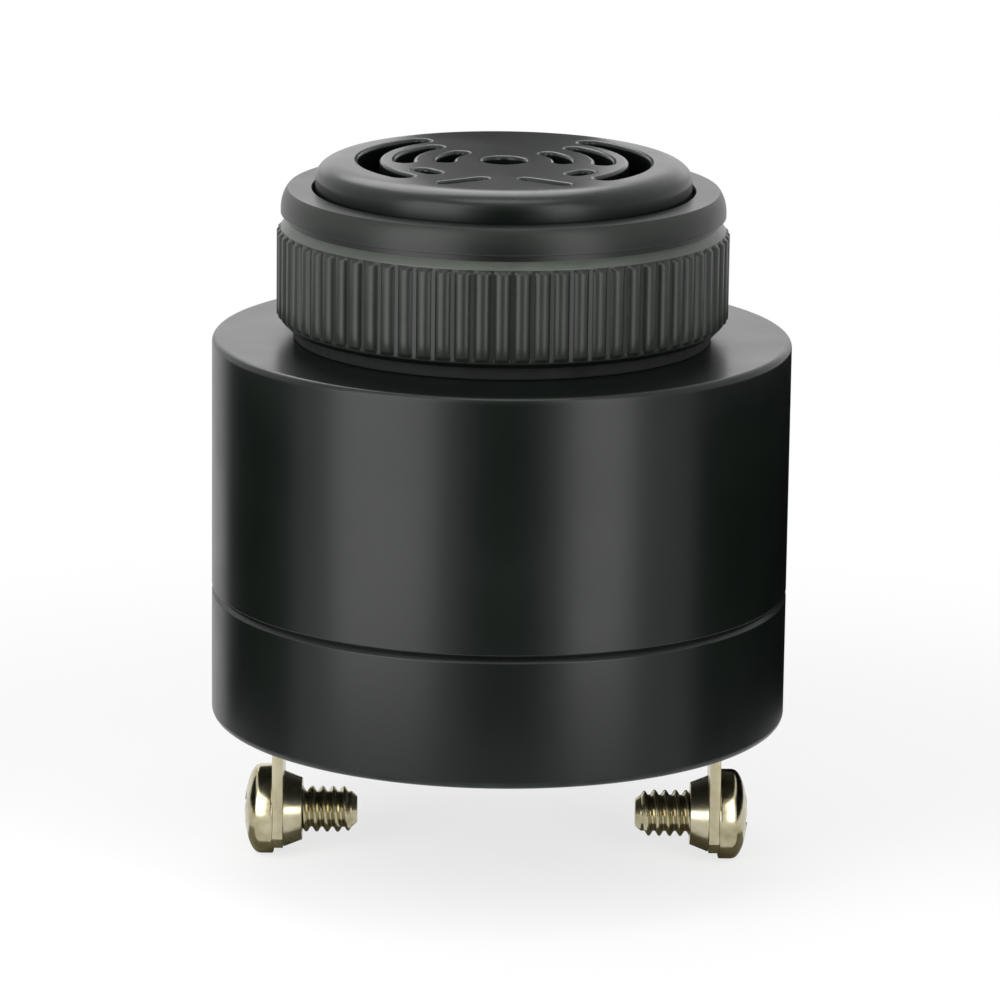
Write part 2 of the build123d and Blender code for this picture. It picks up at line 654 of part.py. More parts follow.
def bent_lead(place, body_end, height):
    """One leg of a lying part: along from the body's end, round a bend and down through the board."""
    path = FilletPolyline(
        (body_end[0], body_end[1], height), (place[0], place[1], height),
        (place[0], place[1], BOARD_BACK_Z - LEAD_STUB), radius=LEAD_DIAMETER,
    )
    section = Plane(origin=path @ 0, z_dir=path % 0) * Circle(LEAD_DIAMETER / 2)
    return sweep(section, path=path).solid()


def component_leads():
    """The wire legs of the parts, except the chip's pins."""
    leads = []
    for place, top in upright_leads():
        leads.append(disc(LEAD_DIAMETER, BOARD_BACK_Z - LEAD_STUB, top, place))
    half = RESISTOR_LENGTH / 2
    for x, y in resistor_lead_places():
        side = 1 if x > 0 else -1
        leads.append(bent_lead((x, y), (side * half, y), RESISTOR_Z))
    half = DIODE_LENGTH / 2
    for x, y in diode_lead_places():
        side = 1 if y > DIODE_PLACE[1] else -1
        leads.append(bent_lead((x, y), (x, DIODE_PLACE[1] + side * half), DIODE_Z))
    return group([lead.solid() for lead in leads])


# Insulated leads and solder

def wire_foot_z(name):
    """The height at which a lead meets the piezo disc: the ceramic, or the brass outside it."""
    reach = math.hypot(*WIRE_ROUTES[name][1])
    return CERAMIC_BACK_Z if reach < PIEZO_CERAMIC_DIAMETER / 2 else PLATE_BACK_Z


def insulated_lead(name):
    """One lead: up from the board, across and up again to the piezo disc, with tangent bends."""
    board_place, disc_place = WIRE_ROUTES[name]
    high = wire_foot_z(name)
    turn_z = high - WIRE_DISC_DROP
    path = FilletPolyline(
        (*board_place, BOARD_FRONT_Z), (*board_place, turn_z - WIRE_FALL),
        (*disc_place, turn_z), (*disc_place, high),
        radius=WIRE_BEND_RADIUS,
    )
    section = Plane(origin=path @ 0, z_dir=path % 0) * Circle(WIRE_DIAMETER / 2)
    return sweep(section, path=path)


def solder_cone(place, base_z, direction, outer, height, gap):
    """A cone of solder on a face, half as wide at its end, open where a leg stands."""
    radius = outer / 2
    cone = Cone(radius, radius / 2, height, align=(Align.CENTER, Align.CENTER, Align.MIN))
    if direction < 0:
        cone = Rot(180, 0, 0) * cone
    return Pos(place[0], place[1], base_z) * cone - gap


def solder_joints():
    """The solder at every leg behind the board, at the tails in front of it, and at the leads' ends."""
    joints = []
    low = BOARD_BACK_Z - 2 * LEAD_STUB
    for place in [lead[0] for lead in upright_leads()] + resistor_lead_places() + diode_lead_places():
        leg = disc(LEAD_DIAMETER, low, BOARD_FRONT_Z, place)
        joints.append(solder_cone(place, BOARD_BACK_Z, -1, SOLDER_DIAMETER, SOLDER_HEIGHT, leg))
    for place in chip_pin_places():
        leg = block(CHIP_PIN_WIDTH, CHIP_PIN_THICKNESS, low, BOARD_FRONT_Z, place)
        joints.append(solder_cone(place, BOARD_BACK_Z, -1, SOLDER_DIAMETER, SOLDER_HEIGHT, leg))
    for side in (-1, 1):
        place = (side * TAIL_X, 0)
        tail = block(TAB_THICKNESS, TAIL_WIDTH, BOARD_BACK_Z, BOARD_FRONT_Z + 2 * TAIL_STUB, place)
        joints.append(solder_cone(place, BOARD_FRONT_Z, 1, TAIL_SOLDER_DIAMETER, SOLDER_HEIGHT, tail))
    for name, (board_place, disc_place) in WIRE_ROUTES.items():
        foot_z = wire_foot_z(name)
        wire = disc(WIRE_DIAMETER, BOARD_FRONT_Z, foot_z, board_place)
        joints.append(solder_cone(board_place, BOARD_FRONT_Z, 1, WIRE_JOINT_DIAMETER, WIRE_JOINT_HEIGHT, wire))
        wire = disc(WIRE_DIAMETER, BOARD_FRONT_Z, foot_z, disc_place)
        joints.append(solder_cone(disc_place, foot_z, -1, WIRE_JOINT_DIAMETER, WIRE_JOINT_HEIGHT, wire))
    return group([joint.solid() for joint in joints])


# Terminals and their screws

def terminal():
    """The right terminal: a strip bent from the blade along the floor to the tail, with its collar."""
    foot_z = FLOOR_Z + TAB_THICKNESS / 2
    path = FilletPolyline(
        (BLADE_X, 0, REAR_Z - TAB_LENGTH), (BLADE_X, 0, foot_z), (TAIL_X, 0, foot_z),
        (TAIL_X, 0, BOARD_FRONT_Z + TAIL_STUB), radius=TAB_BEND_RADIUS,
    )
    start = Plane(origin=path @ 0, x_dir=(1, 0, 0), z_dir=path % 0)
    strip = sweep(start * Rectangle(TAB_THICKNESS, TAB_WIDTH), path=path)
    end_edges = strip.edges().filter_by(Axis.X).group_by(Axis.Z)[0]
    strip = chamfer(end_edges, TAB_CORNER)
    tail_z = foot_z + TAB_BEND_RADIUS
    waste_y = (TAB_WIDTH - TAIL_WIDTH) / 2
    for side in (-1, 1):
        waste_place = (TAIL_X, side * (TAIL_WIDTH + waste_y) / 2)
        strip -= block(2 * TAB_THICKNESS, waste_y, tail_z, BOARD_FRONT_Z + 2 * TAIL_STUB, waste_place)
    inner_x = BLADE_X - TAB_THICKNESS / 2
    root = SCREW_BORE_RADIUS + COLLAR_ROOT_WALL
    end = SCREW_BORE_RADIUS + COLLAR_END_WALL
    collar = Cone(root, end, COLLAR_LENGTH, align=(Align.CENTER, Align.CENTER, Align.MIN))
    strip += Pos(inner_x, 0, SCREW_Z) * Rot(0, -90, 0) * collar
    bore = Cylinder(SCREW_BORE_RADIUS, 4 * COLLAR_LENGTH)
    return strip - Pos(inner_x, 0, SCREW_Z) * Rot(0, 90, 0) * bore


def terminal_screw():
    """The right terminal's screw, with its head against the outside of the blade."""
    rise = SCREW_HEAD_HEIGHT - SCREW_HEAD_EDGE
    radius = SCREW_HEAD_DIAMETER / 2
    dome_radius = (radius ** 2 + rise ** 2) / (2 * rise)
    head = disc(SCREW_HEAD_DIAMETER, 0, SCREW_HEAD_HEIGHT)
    head &= Pos(0, 0, SCREW_HEAD_HEIGHT - dome_radius) * Sphere(dome_radius)
    for size in ((CROSS_WIDTH, CROSS_SPAN), (CROSS_SPAN, CROSS_WIDTH)):
        head -= block(size[0], size[1], SCREW_HEAD_HEIGHT - CROSS_DEPTH, 2 * SCREW_HEAD_HEIGHT)
    shank = turned([
        (0, 0),
        (SCREW_DIAMETER / 2, 0),
        (SCREW_DIAMETER / 2, SCREW_TIP_CHAMFER - SCREW_LENGTH),
        (SCREW_DIAMETER / 2 - SCREW_TIP_CHAMFER, -SCREW_LENGTH),
        (0, -SCREW_LENGTH),
    ])
    screw = head + shank
    return Pos(BLADE_X + TAB_THICKNESS / 2, 0, SCREW_Z) * Rot(0, 90, 0) * screw


def all_parts():
    """Every piece of the sounder by its name."""
    parts = {
        "housing": housing(),
        "rear_cover": rear_cover(),
        "ring_nut": ring_nut(),
        "panel_gasket": panel_gasket(),
        "sound_chamber": sound_chamber(),
        "piezo_plate": piezo_plate(),
        "piezo_ceramic": piezo_ceramic(),
        "silicone_bead": silicone_bead(),
        "circuit_board": circuit_board(),
        "coil_core": coil_core(),
        "coil_winding": coil_winding(),
        "capacitor": capacitor(),
        "transistor": transistor(),
        "driver_chip": driver_chip(),
        "driver_pins": driver_pins(),
        "resistors": resistors(),
        "diode": diode(),
        "disc_capacitors": disc_capacitors(),
        "component_leads": component_leads(),
        "solder_joints": solder_joints(),
        "terminal_right": terminal(),
        "terminal_screw_right": terminal_screw(),
    }
    parts["terminal_left"] = mirrored(parts["terminal_right"])
    parts["terminal_screw_left"] = mirrored(parts["terminal_screw_right"])
    for name in WIRE_ROUTES:
        parts[name] = insulated_lead(name)
    return parts


os.makedirs("parts", exist_ok=True)
for part_name, shape in all_parts().items():
    export_step(shape, f"parts/{part_name}.step")
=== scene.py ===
"""A round panel buzzer: moulded body, slotted grille, knurled ring nut, screw terminals and the parts inside.

Named sizes, profiles and outlines are in millimetres, and become metres when a mesh is made from them.
"""

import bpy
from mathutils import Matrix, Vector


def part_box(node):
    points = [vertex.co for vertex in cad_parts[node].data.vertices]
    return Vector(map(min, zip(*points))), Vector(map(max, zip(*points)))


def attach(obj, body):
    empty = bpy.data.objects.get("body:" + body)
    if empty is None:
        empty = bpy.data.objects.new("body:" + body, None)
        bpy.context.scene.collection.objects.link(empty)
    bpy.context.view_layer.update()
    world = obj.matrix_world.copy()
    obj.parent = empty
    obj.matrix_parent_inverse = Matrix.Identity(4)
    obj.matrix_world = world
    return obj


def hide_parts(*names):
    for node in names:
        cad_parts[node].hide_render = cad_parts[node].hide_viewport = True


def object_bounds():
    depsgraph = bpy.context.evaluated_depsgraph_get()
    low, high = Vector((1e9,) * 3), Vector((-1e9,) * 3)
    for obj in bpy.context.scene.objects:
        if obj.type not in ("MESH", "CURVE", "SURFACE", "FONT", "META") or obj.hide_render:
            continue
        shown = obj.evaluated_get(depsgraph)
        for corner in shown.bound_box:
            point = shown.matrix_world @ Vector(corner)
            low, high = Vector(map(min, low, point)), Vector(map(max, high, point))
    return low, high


bl_info = {
    "name": "Panel buzzer",
    "version": (1, 0, 0),
    "blender": (4, 5, 0),
    "location": "3D View > Sidebar > Buzzer",
    "description": "Builds a panel buzzer round its CAD frame, with its finishes and a plain studio",
    "category": "Object",
}

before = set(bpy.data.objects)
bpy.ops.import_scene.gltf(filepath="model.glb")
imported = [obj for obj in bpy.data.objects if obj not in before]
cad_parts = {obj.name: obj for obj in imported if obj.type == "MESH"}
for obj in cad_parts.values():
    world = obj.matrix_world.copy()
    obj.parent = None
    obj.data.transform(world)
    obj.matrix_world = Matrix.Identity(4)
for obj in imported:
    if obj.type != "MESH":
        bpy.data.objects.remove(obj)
CAD_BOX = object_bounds()

import math

import bmesh
import bpy
from bpy.props import FloatProperty, FloatVectorProperty, IntProperty, PointerProperty
from mathutils import Matrix, Vector, geometry

MM = 0.001


def corner(node, side, axis):
    """One number of a CAD node's box, in millimetres: side 0 is its lowest corner and 1 its highest."""
    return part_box(node)[side][axis] / MM


# Sizes that the CAD's nodes give
BODY_RADIUS = corner("housing", 1, 0)
FACE_Z = corner("housing", 1, 2)
SEAM_Z = corner("housing", 0, 2)
REAR_Z = corner("rear_cover", 0, 2)
SPIGOT_TOP_Z = corner("rear_cover", 1, 2)
NUT_RADIUS = corner("ring_nut", 1, 0)
NUT_FOOT_Z = corner("ring_nut", 0, 2)
NUT_TOP_Z = corner("ring_nut", 1, 2)
GASKET_RADIUS = corner("panel_gasket", 1, 0)
SCREW_Z = (corner("terminal_screw_right", 0, 2) + corner("terminal_screw_right", 1, 2)) / 2
SCREW_HEAD_RADIUS = (corner("terminal_screw_right", 1, 1) - corner("terminal_screw_right", 0, 1)) / 2
SCREW_TIP_X = corner("terminal_screw_right", 0, 0)
SCREW_TOP_X = corner("terminal_screw_right", 1, 0)
FLOOR_Z = min(SCREW_Z - SCREW_HEAD_RADIUS, CAD_BOX[0].z / MM)

# The housing. Height 0 is the top of its shoulder
SHOULDER_UNDER_Z = -2.6
SIDE_WALL = 2.2
RIM_RADIUS = 13.9
NECK_RADIUS = 14.0
NECK_ROOT_RADIUS = NECK_RADIUS - 0.75
NECK_INNER_RADIUS = 11.5
CEILING_Z = FACE_Z - 1.6
RING_INNER_RADIUS, RING_OUTER_RADIUS, RING_END_Z = 15.8, 17.0, -5.6
SHOULDER_RIBS = 6
SHOULDER_RIB = ((18.15, 0, -3.45), (2.8, 1.2, 4.3))
SEAM_CHAMFER = 0.3
CHAMFER_EDGE = 0.06

# Sound slots: inner radius, outer radius, first and last angle from +X towards the back, each mirrored
ARC_SLOTS = [(3.7, 5.0, -15, 50), (6.7, 8.0, -12, 50), (6.7, 8.0, -50, -31), (9.2, 10.8, -47, 55)]
# One straight slot, mirrored: the radius and angle of each end, and its width
SLANT_SLOT = ((7.6, -78.0), (10.3, -65.0), 0.9)
HOLE_RADIUS = 1.6

# The rear cover. A terminal slot is its lowest and highest X and half its width, and a post a radius and an angle
COVER_FLOOR_Z = REAR_Z + 2.0
COVER_EDGE = 0.5
SPIGOT_OUTER_RADIUS, SPIGOT_INNER_RADIUS = 19.2, 17.6
TERMINAL_SLOT = (15.65, 16.95, 3.275)
SLOT_CORNER = 0.2
POSTS = [(14.2, 60), (14.2, 120), (14.2, 270)]
POST_RADIUS, POST_HEIGHT = 1.8, 5.6
# Raised bars that tell the two terminals apart, a cross at the right and one bar at the left: X, length and width
POLARITY_BARS = [(11.6, 2.6, 0.6), (11.6, 0.6, 2.6), (-11.6, 2.6, 0.6)]
POLARITY_BAR_HEIGHT = 0.4

# The ring nut and the gasket under it. Over the knurl lie a sloping ledge and a groove
NUT_BORE_RADIUS = 14.08
NUT_THREAD_DEPTH = 0.6
KNURL_HEIGHT = 7.2
LEDGE_RISE = 0.55
GROOVE_RISE = 0.35
GROOVE_DEPTH = 0.45
# The length over which a rib runs out, half its width and half its worn top, both as shares of the ribs' distance
RIB_END = 0.35
RIB_HALF_WIDTH = 0.4
RIB_HALF_TOP = 0.3
# Where the columns of a rib's sector stand, as the same shares, each also on the other side
RIB_COLUMNS = [0.04, 0.12, 0.2, 0.255, 0.3, 0.335, 0.37, 0.4, 0.45, 0.5]
# How worn the knurl looks all over, from dust in its grain, and how much more the tops of its ribs, from fingers
KNURL_DUST = 0.11
RIB_POLISH = 0.12
GASKET_BORE_RADIUS = 14.15
GASKET_EDGE = 0.12

# The terminal screws
HEAD_SIDE, HEAD_DOME = 1.0, 1.2
HEAD_HEIGHT = HEAD_SIDE + HEAD_DOME
# The cross recess, which tapers: half its length, half its width and its height, at the top and at the bottom
RECESS_TOP, RECESS_BOTTOM = (1.95, 0.5, 2.6), (0.95, 0.3, 0.95)
SCREW_ROOT_RADIUS = 1.38
SCREW_THREAD_DEPTH = 0.37
SCREW_NECK_RADIUS = 1.72
# Each screw's side and node, and the angle in degrees at which its cross stopped
SCREWS = [(1, "terminal_screw_right", 17), (-1, "terminal_screw_left", 52)]

COIL_CORE_RADIUS = 1.8

# The stage, in metres and degrees. A lamp is its width and height, and its place
LAMPS = {
    "top_lamp": ((0.26, 0.25), (-0.055, 0.272, 0.297)),
    "over_lamp": ((0.22, 0.12), (0, -0.05, 0.36)),
    "back_lamp": ((0.36, 0.07), (0, 0.36, 0.085)),
}
LAMP_AIM = (0, 0, -0.008)
# Each softbox stands at an angle from the camera's side towards the right, and has a width
SOFTBOXES = {"left_softbox": (-41, 0.054), "right_softbox": (35, 0.031)}
SOFTBOX_RADIUS, SOFTBOX_HEIGHT = 0.078, 0.13
# Each dark card reaches from a first to a last such angle, and has a radius and the height of its upper edge
DARK_CARDS = {
    "card_front": (-12, 15, 0.075, 0.085),
    "card_left": (-118, -72, 0.052, -0.005),
    "card_right": (66, 168, 0.05, -0.005),
    "card_back": (172, 188, 0.06, 0.038),
}
# The grey card under the right screw, in millimetres: its ends in X, its ends in Y, and its height over the floor. It
# is painted shade: only mirrors see it, and it darkens the lower half of each screw's head and shank as the shadow
# under the object would
SHADE_CARD_X, SHADE_CARD_Y, SHADE_CARD_LIFT = (9.5, 24.0), (-3.2, 3.0), 0.02
# Where the paper is seen directly it is white by this share up to the near radius, and wholly from the far one on
SHADOW_NEAR, SHADOW_FAR, WHITE_SHARE = 0.05, 0.11, 0.72
CAMERA_SHIFT = -0.0017

# In degrees: an edge sharper than the first stays sharp, and a rounding has a point at each step of the second
SHARP, ROUNDING_STEP = 32.0, 15.0
# How far a support point stands off from a rounding in a profile, and from the rounded edge of an opening
PROFILE_SUPPORT, SLOT_SUPPORT = 0.05, 0.03
# The small edge of an opening on its far side
SLOT_BACK_EDGE = 0.1


def linear(code):
    """The linear colour of an sRGB hex value."""
    channels = [int(code[i:i + 2], 16) / 255 for i in (1, 3, 5)]
    return [c / 12.92 if c <= 0.04045 else ((c + 0.055) / 1.055) ** 2.4 for c in channels]


def shade(colour, share):
    """A lighter or darker colour."""
    return [min(1.0, c * share) for c in colour]


def per(size):
    """The scale of a pattern whose features are this many millimetres across."""
    return 1 / (size * MM)


def cleared(owner):
    """The node tree of a material or a world, emptied."""
    owner.use_nodes = True
    owner.node_tree.nodes.clear()
    return owner.node_tree


def add(tree, kind, sockets=None, **settings):
    """Adds a node to a tree: settings are its own, and each socket takes a constant or another node's output.

    A colour is given by three numbers.
    """
    node = tree.nodes.new(kind)
    for name, value in settings.items():
        setattr(node, name, value)
    for key, value in (sockets or {}).items():
        socket = node.inputs[key]
        if isinstance(value, bpy.types.NodeSocket):
            tree.links.new(value, socket)
        else:
            socket.default_value = (*value, 1) if socket.type == "RGBA" else value
    return node


# Settings

class BuzzerBody(bpy.types.PropertyGroup):
    """Sizes and colours of the two mouldings."""
    plastic: FloatVectorProperty(
        name="Plastic", description="Colour of the moulded body", subtype="COLOR", size=3,
        min=0, max=1, default=linear("#0c110e"))
    roughness: FloatProperty(
        name="Roughness", description="Roughness of the moulded skin", subtype="FACTOR",
        min=0, max=1, default=0.30)
    specular: FloatProperty(
        name="Specular level", description="How strongly the skin mirrors its surroundings", subtype="FACTOR",
        min=0, max=1, default=0.25)
    shoulder_edge: FloatProperty(
        name="Shoulder edge", description="Radius of the shoulder's outer edge", unit="LENGTH",
        min=0.0001, max=0.002, default=0.45 * MM, precision=5)
    rim_slope: FloatProperty(
        name="Rim slope", description="Width of the grille's outer band, which falls away to the rim", unit="LENGTH",
        min=0.0005, max=0.0028, default=2.05 * MM, precision=5)
    rim_fall: FloatProperty(
        name="Rim fall", description="How far that band falls", unit="LENGTH",
        min=0.0002, max=0.002, default=1.3 * MM, precision=5)
    slot_edge: FloatProperty(
        name="Slot edge", description="Radius of the edges of the sound slots", unit="LENGTH",
        min=0.00002, max=0.0004, default=0.28 * MM, precision=5)
    thread_pitch: FloatProperty(
        name="Neck thread pitch", description="Distance between two turns of the neck's thread", unit="LENGTH",
        min=0.0008, max=0.003, default=1.5 * MM, precision=5)


class BuzzerNut(bpy.types.PropertyGroup):
    """Sizes and colour of the ring nut."""
    nylon: FloatVectorProperty(
        name="Nylon", description="Colour of the ring nut", subtype="COLOR", size=3,
        min=0, max=1, default=linear("#111412"))
    ribs: IntProperty(
        name="Ribs", description="Number of ribs round the nut", min=24, max=120, default=72)
    rib_depth: FloatProperty(
        name="Rib depth", description="Height of a rib over the ground between ribs", unit="LENGTH",
        min=0.0001, max=0.0005, default=0.31 * MM, precision=5)
    crown_run: FloatProperty(
        name="Crown run", description="How far the nut's rounded upper edge reaches inwards", unit="LENGTH",
        min=0.0002, max=0.002, default=1.15 * MM, precision=5)
    crown_fall: FloatProperty(
        name="Crown fall", description="How far that edge reaches down", unit="LENGTH",
        min=0.0002, max=0.0022, default=1.9 * MM, precision=5)


class BuzzerMetal(bpy.types.PropertyGroup):
    """Sizes and colours of the terminals and their screws."""
    nickel: FloatVectorProperty(
        name="Nickel", description="Colour of the plated terminals", subtype="COLOR", size=3,
        min=0, max=1, default=linear("#cbc5ab"))
    steel: FloatVectorProperty(
        name="Plated steel", description="Colour of the plated screws", subtype="COLOR", size=3,
        min=0, max=1, default=linear("#ccc6aa"))
    screw_pitch: FloatProperty(
        name="Screw pitch", description="Distance between two turns of a terminal screw", unit="LENGTH",
        min=0.0004, max=0.0012, default=0.794 * MM, precision=6)
    tab_edge: FloatProperty(
        name="Tab edge", description="Rounding of the stamped edges of a terminal", unit="LENGTH",
        min=0.00002, max=0.0002, default=0.08 * MM, precision=6)


class BuzzerInside(bpy.types.PropertyGroup):
    """Sizes and colours of what stands inside."""
    brass: FloatVectorProperty(
        name="Brass", description="Colour of the piezo disc's plate", subtype="COLOR", size=3,
        min=0, max=1, default=linear("#c9a458"))
    laminate: FloatVectorProperty(
        name="Board", description="Colour of the circuit board", subtype="COLOR", size=3,
        min=0, max=1, default=linear("#2e6a3f"))
    winding_wire: FloatProperty(
        name="Winding wire", description="Diameter of the coil's enamelled wire", unit="LENGTH",
        min=0.0001, max=0.0006, default=0.26 * MM, precision=6)


class BuzzerStage(bpy.types.PropertyGroup):
    """The floor, the lamps and the camera."""
    floor: FloatVectorProperty(
        name="Floor", description="Colour of the floor", subtype="COLOR", size=3,
        min=0, max=1, default=linear("#ececec"))
    ambient: FloatProperty(
        name="Ambient", description="Strength of the surrounding light", min=0, max=2, default=0.27)
    top_lamp: FloatProperty(
        name="Top lamp", description="Power of the large soft lamp overhead", unit="POWER",
        min=0, max=10, default=0.78)
    over_lamp: FloatProperty(
        name="Overhead lamp", description="Power of the soft lamp straight above", unit="POWER",
        min=0, max=10, default=0.33)
    back_lamp: FloatProperty(
        name="Back lamp", description="Power of the wide low lamp behind the object", unit="POWER",
        min=0, max=10, default=0.056)
    left_softbox: FloatProperty(
        name="Left softbox", description="Power of the soft lamp standing at the left", unit="POWER",
        min=0, max=10, default=0.073)
    right_softbox: FloatProperty(
        name="Right softbox", description="Power of the soft lamp standing at the right", unit="POWER",
        min=0, max=10, default=0.043)
    lens: FloatProperty(
        name="Lens", description="Focal length of the camera", min=20, max=400, default=206.8)
    distance: FloatProperty(
        name="Camera distance", description="Distance of the camera in front of the neck's axis", unit="LENGTH",
        min=0.1, max=2, default=417 * MM)
    height: FloatProperty(
        name="Camera height", description="Height of the camera over the shoulder", unit="LENGTH",
        min=-0.5, max=1, default=89.2 * MM)
    pitch: FloatProperty(
        name="Camera pitch", description="How far the camera looks down", subtype="ANGLE",
        min=0, max=math.pi / 2, default=math.radians(13.7))
    roll: FloatProperty(
        name="Camera roll", description="How far the camera leans", subtype="ANGLE",
        min=-0.2, max=0.2, default=math.radians(0.72))


# Meshes

def rounded(corners):
    """The points of a profile. A corner is radius and height, and may add a rounding radius and its wear.

    A rounding gets a support point at each end, so that the flat faces beside it shade flat.
    """
    points = []
    for index, (radius, height, *rounding) in enumerate(corners):
        here = Vector((radius, height))
        if not rounding or index in (0, len(corners) - 1):
            points.append((here.x, here.y, 0.0))
            continue
        size, wear = (*rounding, 1.0)[:2]
        back = Vector(corners[index - 1][:2]) - here
        on = Vector(corners[index + 1][:2]) - here
        opening = back.angle(on)
        reach = size / math.tan(opening / 2)
        first = here + back.normalized() * reach
        last = here + on.normalized() * reach
        middle = here + (back.normalized() + on.normalized()).normalized() * (size / math.sin(opening / 2))
        swing = math.pi - opening
        steps = max(2, math.ceil(math.degrees(swing) / ROUNDING_STEP))
        turn = swing if (first - middle).angle_signed(last - middle) < 0 else -swing
        points.append((*(first + back.normalized() * min(PROFILE_SUPPORT, reach)), 0.0))
        for count in range(steps + 1):
            share = count / steps
            spot = middle + Matrix.Rotation(turn * share, 2) @ (first - middle)
            points.append((spot.x, spot.y, wear * math.sin(math.pi * (0.15 + 0.7 * share))))
        points.append((*(last + on.normalized() * min(PROFILE_SUPPORT, reach)), 0.0))
    return points


def crowned(radius, top, run, fall, wear, first=0.0):
    """The points of an elliptical edge, from the top out and down to the side wall, or only from a first angle."""
    angles = [math.radians(first + (90 - first) * c / 12) for c in range(13)]
    level = math.cos(angles[0])
    return [(radius - run * (1 - math.sin(a)), top - fall * (level - math.cos(a)), wear * math.sin(2 * a))
            for a in angles]


def ring_of(bm, places, height, worn):
    """A ring of vertices at one height, which carry how worn they are."""
    wear = bm.verts.layers.float.get("wear") or bm.verts.layers.float.new("wear")
    ring = [bm.verts.new((x * MM, y * MM, height * MM)) for x, y in places]
    for vert in ring:
        vert[wear] = worn
    return ring


def turn_profile(bm, points, columns=256, closed=False):
    """Turns a profile about Z and returns its rings of vertices. A point on the axis is one vertex."""
    rings = []
    for radius, height, worn in points:
        turns = [0.0] if radius < 1e-6 else [2 * math.pi * c / columns for c in range(columns)]
        rings.append(ring_of(bm, [(radius * math.cos(t), radius * math.sin(t)) for t in turns], height, worn))
    for one, two in list(zip(rings, rings[1:])) + ([(rings[-1], rings[0])] if closed else []):
        join_rings(bm, one, two)
    return rings


def join_rings(bm, one, two):
    """Faces between two rings, or between a ring and a single vertex."""
    count = max(len(one), len(two))
    for c in range(count):
        n = (c + 1) % count
        corners = [one[c % len(one)], one[n % len(one)], two[n % len(two)], two[c % len(two)]]
        bm.faces.new(list(dict.fromkeys(corners)))


def block(bm, middle, size):
    """Adds a cuboid and returns its vertices."""
    verts = bmesh.ops.create_cube(bm, size=1.0)["verts"]
    for vert in verts:
        vert.co = [(m + c * s) * MM for m, c, s in zip(middle, vert.co, size)]
    return verts


def soften(bm, width):
    """Bevels every edge of a mesh."""
    bmesh.ops.bevel(bm, geom=bm.edges, offset=width * MM, segments=2, affect="EDGES")


def placed(name, data):
    """An object with this data, put in the scene."""
    piece = bpy.data.objects.new(name, data)
    bpy.context.scene.collection.objects.link(piece)
    return piece


def discard(piece):
    """Removes an object, and its mesh or curve where nothing else uses it."""
    data = piece.data
    bpy.data.objects.remove(piece)
    if not data.users:
        (bpy.data.meshes if isinstance(data, bpy.types.Mesh) else bpy.data.curves).remove(data)


def object_from(name, bm, material=None, sharp=SHARP, outward=True):
    """An object at the origin from a mesh in the making, shaded smooth up to the sharp angle."""
    bmesh.ops.remove_doubles(bm, verts=bm.verts, dist=1e-7)
    if outward:
        bmesh.ops.recalc_face_normals(bm, faces=bm.faces)
    mesh = bpy.data.meshes.new(name)
    bm.to_mesh(mesh)
    bm.free()
    mesh.shade_smooth()
    mesh.set_sharp_from_angle(angle=math.radians(sharp))
    if material:
        mesh.materials.append(material)
    return placed(name, mesh)


def bake(piece):
    """Turns an object with its modifiers, or a curve, into a plain mesh object."""
    name = piece.name
    mesh = bpy.data.meshes.new_from_object(piece.evaluated_get(bpy.context.evaluated_depsgraph_get()))
    discard(piece)
    mesh.name = name
    return placed(name, mesh)


def merged(name, pieces, material, sharp=SHARP):
    """One object from several closed ones, which are removed."""
    bm = bmesh.new()
    for piece in pieces:
        bm.from_mesh(piece.data)
        discard(piece)
    for face in bm.faces:
        face.material_index = 0
    return object_from(name, bm, material, sharp)


def settle(piece, slot, *nodes):
    """A finished piece rides on the one body and stands for its CAD nodes. Its slot is not used."""
    if not len(piece.data.polygons):
        raise RuntimeError(f"{piece.name} came out empty")
    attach(piece, "root")
    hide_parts(*nodes)


# Outlines of openings. Each is a function that gives its points, the same number of them, grown outwards by a margin,
# and runs the same way round when side -1 mirrors it

def arc(middle, radius, first, sweep, steps):
    """Points on a circle from a first angle through a sweep, in radians, both ends included."""
    turns = [first + sweep * c / steps for c in range(steps + 1)]
    return [(middle[0] + radius * math.cos(a), middle[1] + radius * math.sin(a)) for a in turns]


def mirrored(points, side):
    """The points as they are for side 1, or mirrored and in the other order for side -1."""
    return [(side * x, y) for x, y in points][::side]


def arc_outline(inner, outer, first, last, side):
    """A curved slot with round ends."""
    middle = (inner + outer) / 2
    half = (outer - inner) / 2
    end_turn = half / middle
    start, stop = math.radians(first) + end_turn, math.radians(last) - end_turn
    steps = max(3, math.ceil((stop - start) * middle / 0.45))

    def cap(turn, heading, grow):
        centre = (middle * math.cos(turn), middle * math.sin(turn))
        return arc(centre, half + grow, heading, math.pi, 10)[1:-1]

    def points(grow):
        return mirrored(
            arc((0, 0), middle + half + grow, start, stop - start, steps) + cap(stop, stop, grow)
            + arc((0, 0), middle - half - grow, stop, start - stop, steps) + cap(start, start + math.pi, grow), side)
    return points


def straight_outline(start, end, width, side):
    """A straight slot with round ends about two places, each a radius and an angle."""
    one, two = [Vector((r * math.cos(math.radians(a)), r * math.sin(math.radians(a)))) for r, a in (start, end)]
    heading = math.atan2(two.y - one.y, two.x - one.x)

    def points(grow):
        return mirrored(arc(two, width / 2 + grow, heading - math.pi / 2, math.pi, 10)
                        + arc(one, width / 2 + grow, heading + math.pi / 2, math.pi, 10), side)
    return points


def box_outline(low_x, high_x, half_y, side):
    """A rectangular opening with rounded corners."""
    left, right, top = low_x + SLOT_CORNER, high_x - SLOT_CORNER, half_y - SLOT_CORNER
    centres = [(right, top), (left, top), (left, -top), (right, -top)]

    def points(grow):
        found = []
        for quarter, centre in enumerate(centres):
            found += arc(centre, SLOT_CORNER + grow, math.pi / 2 * quarter, math.pi / 2, 4)
        return mirrored(found, side)
    return points


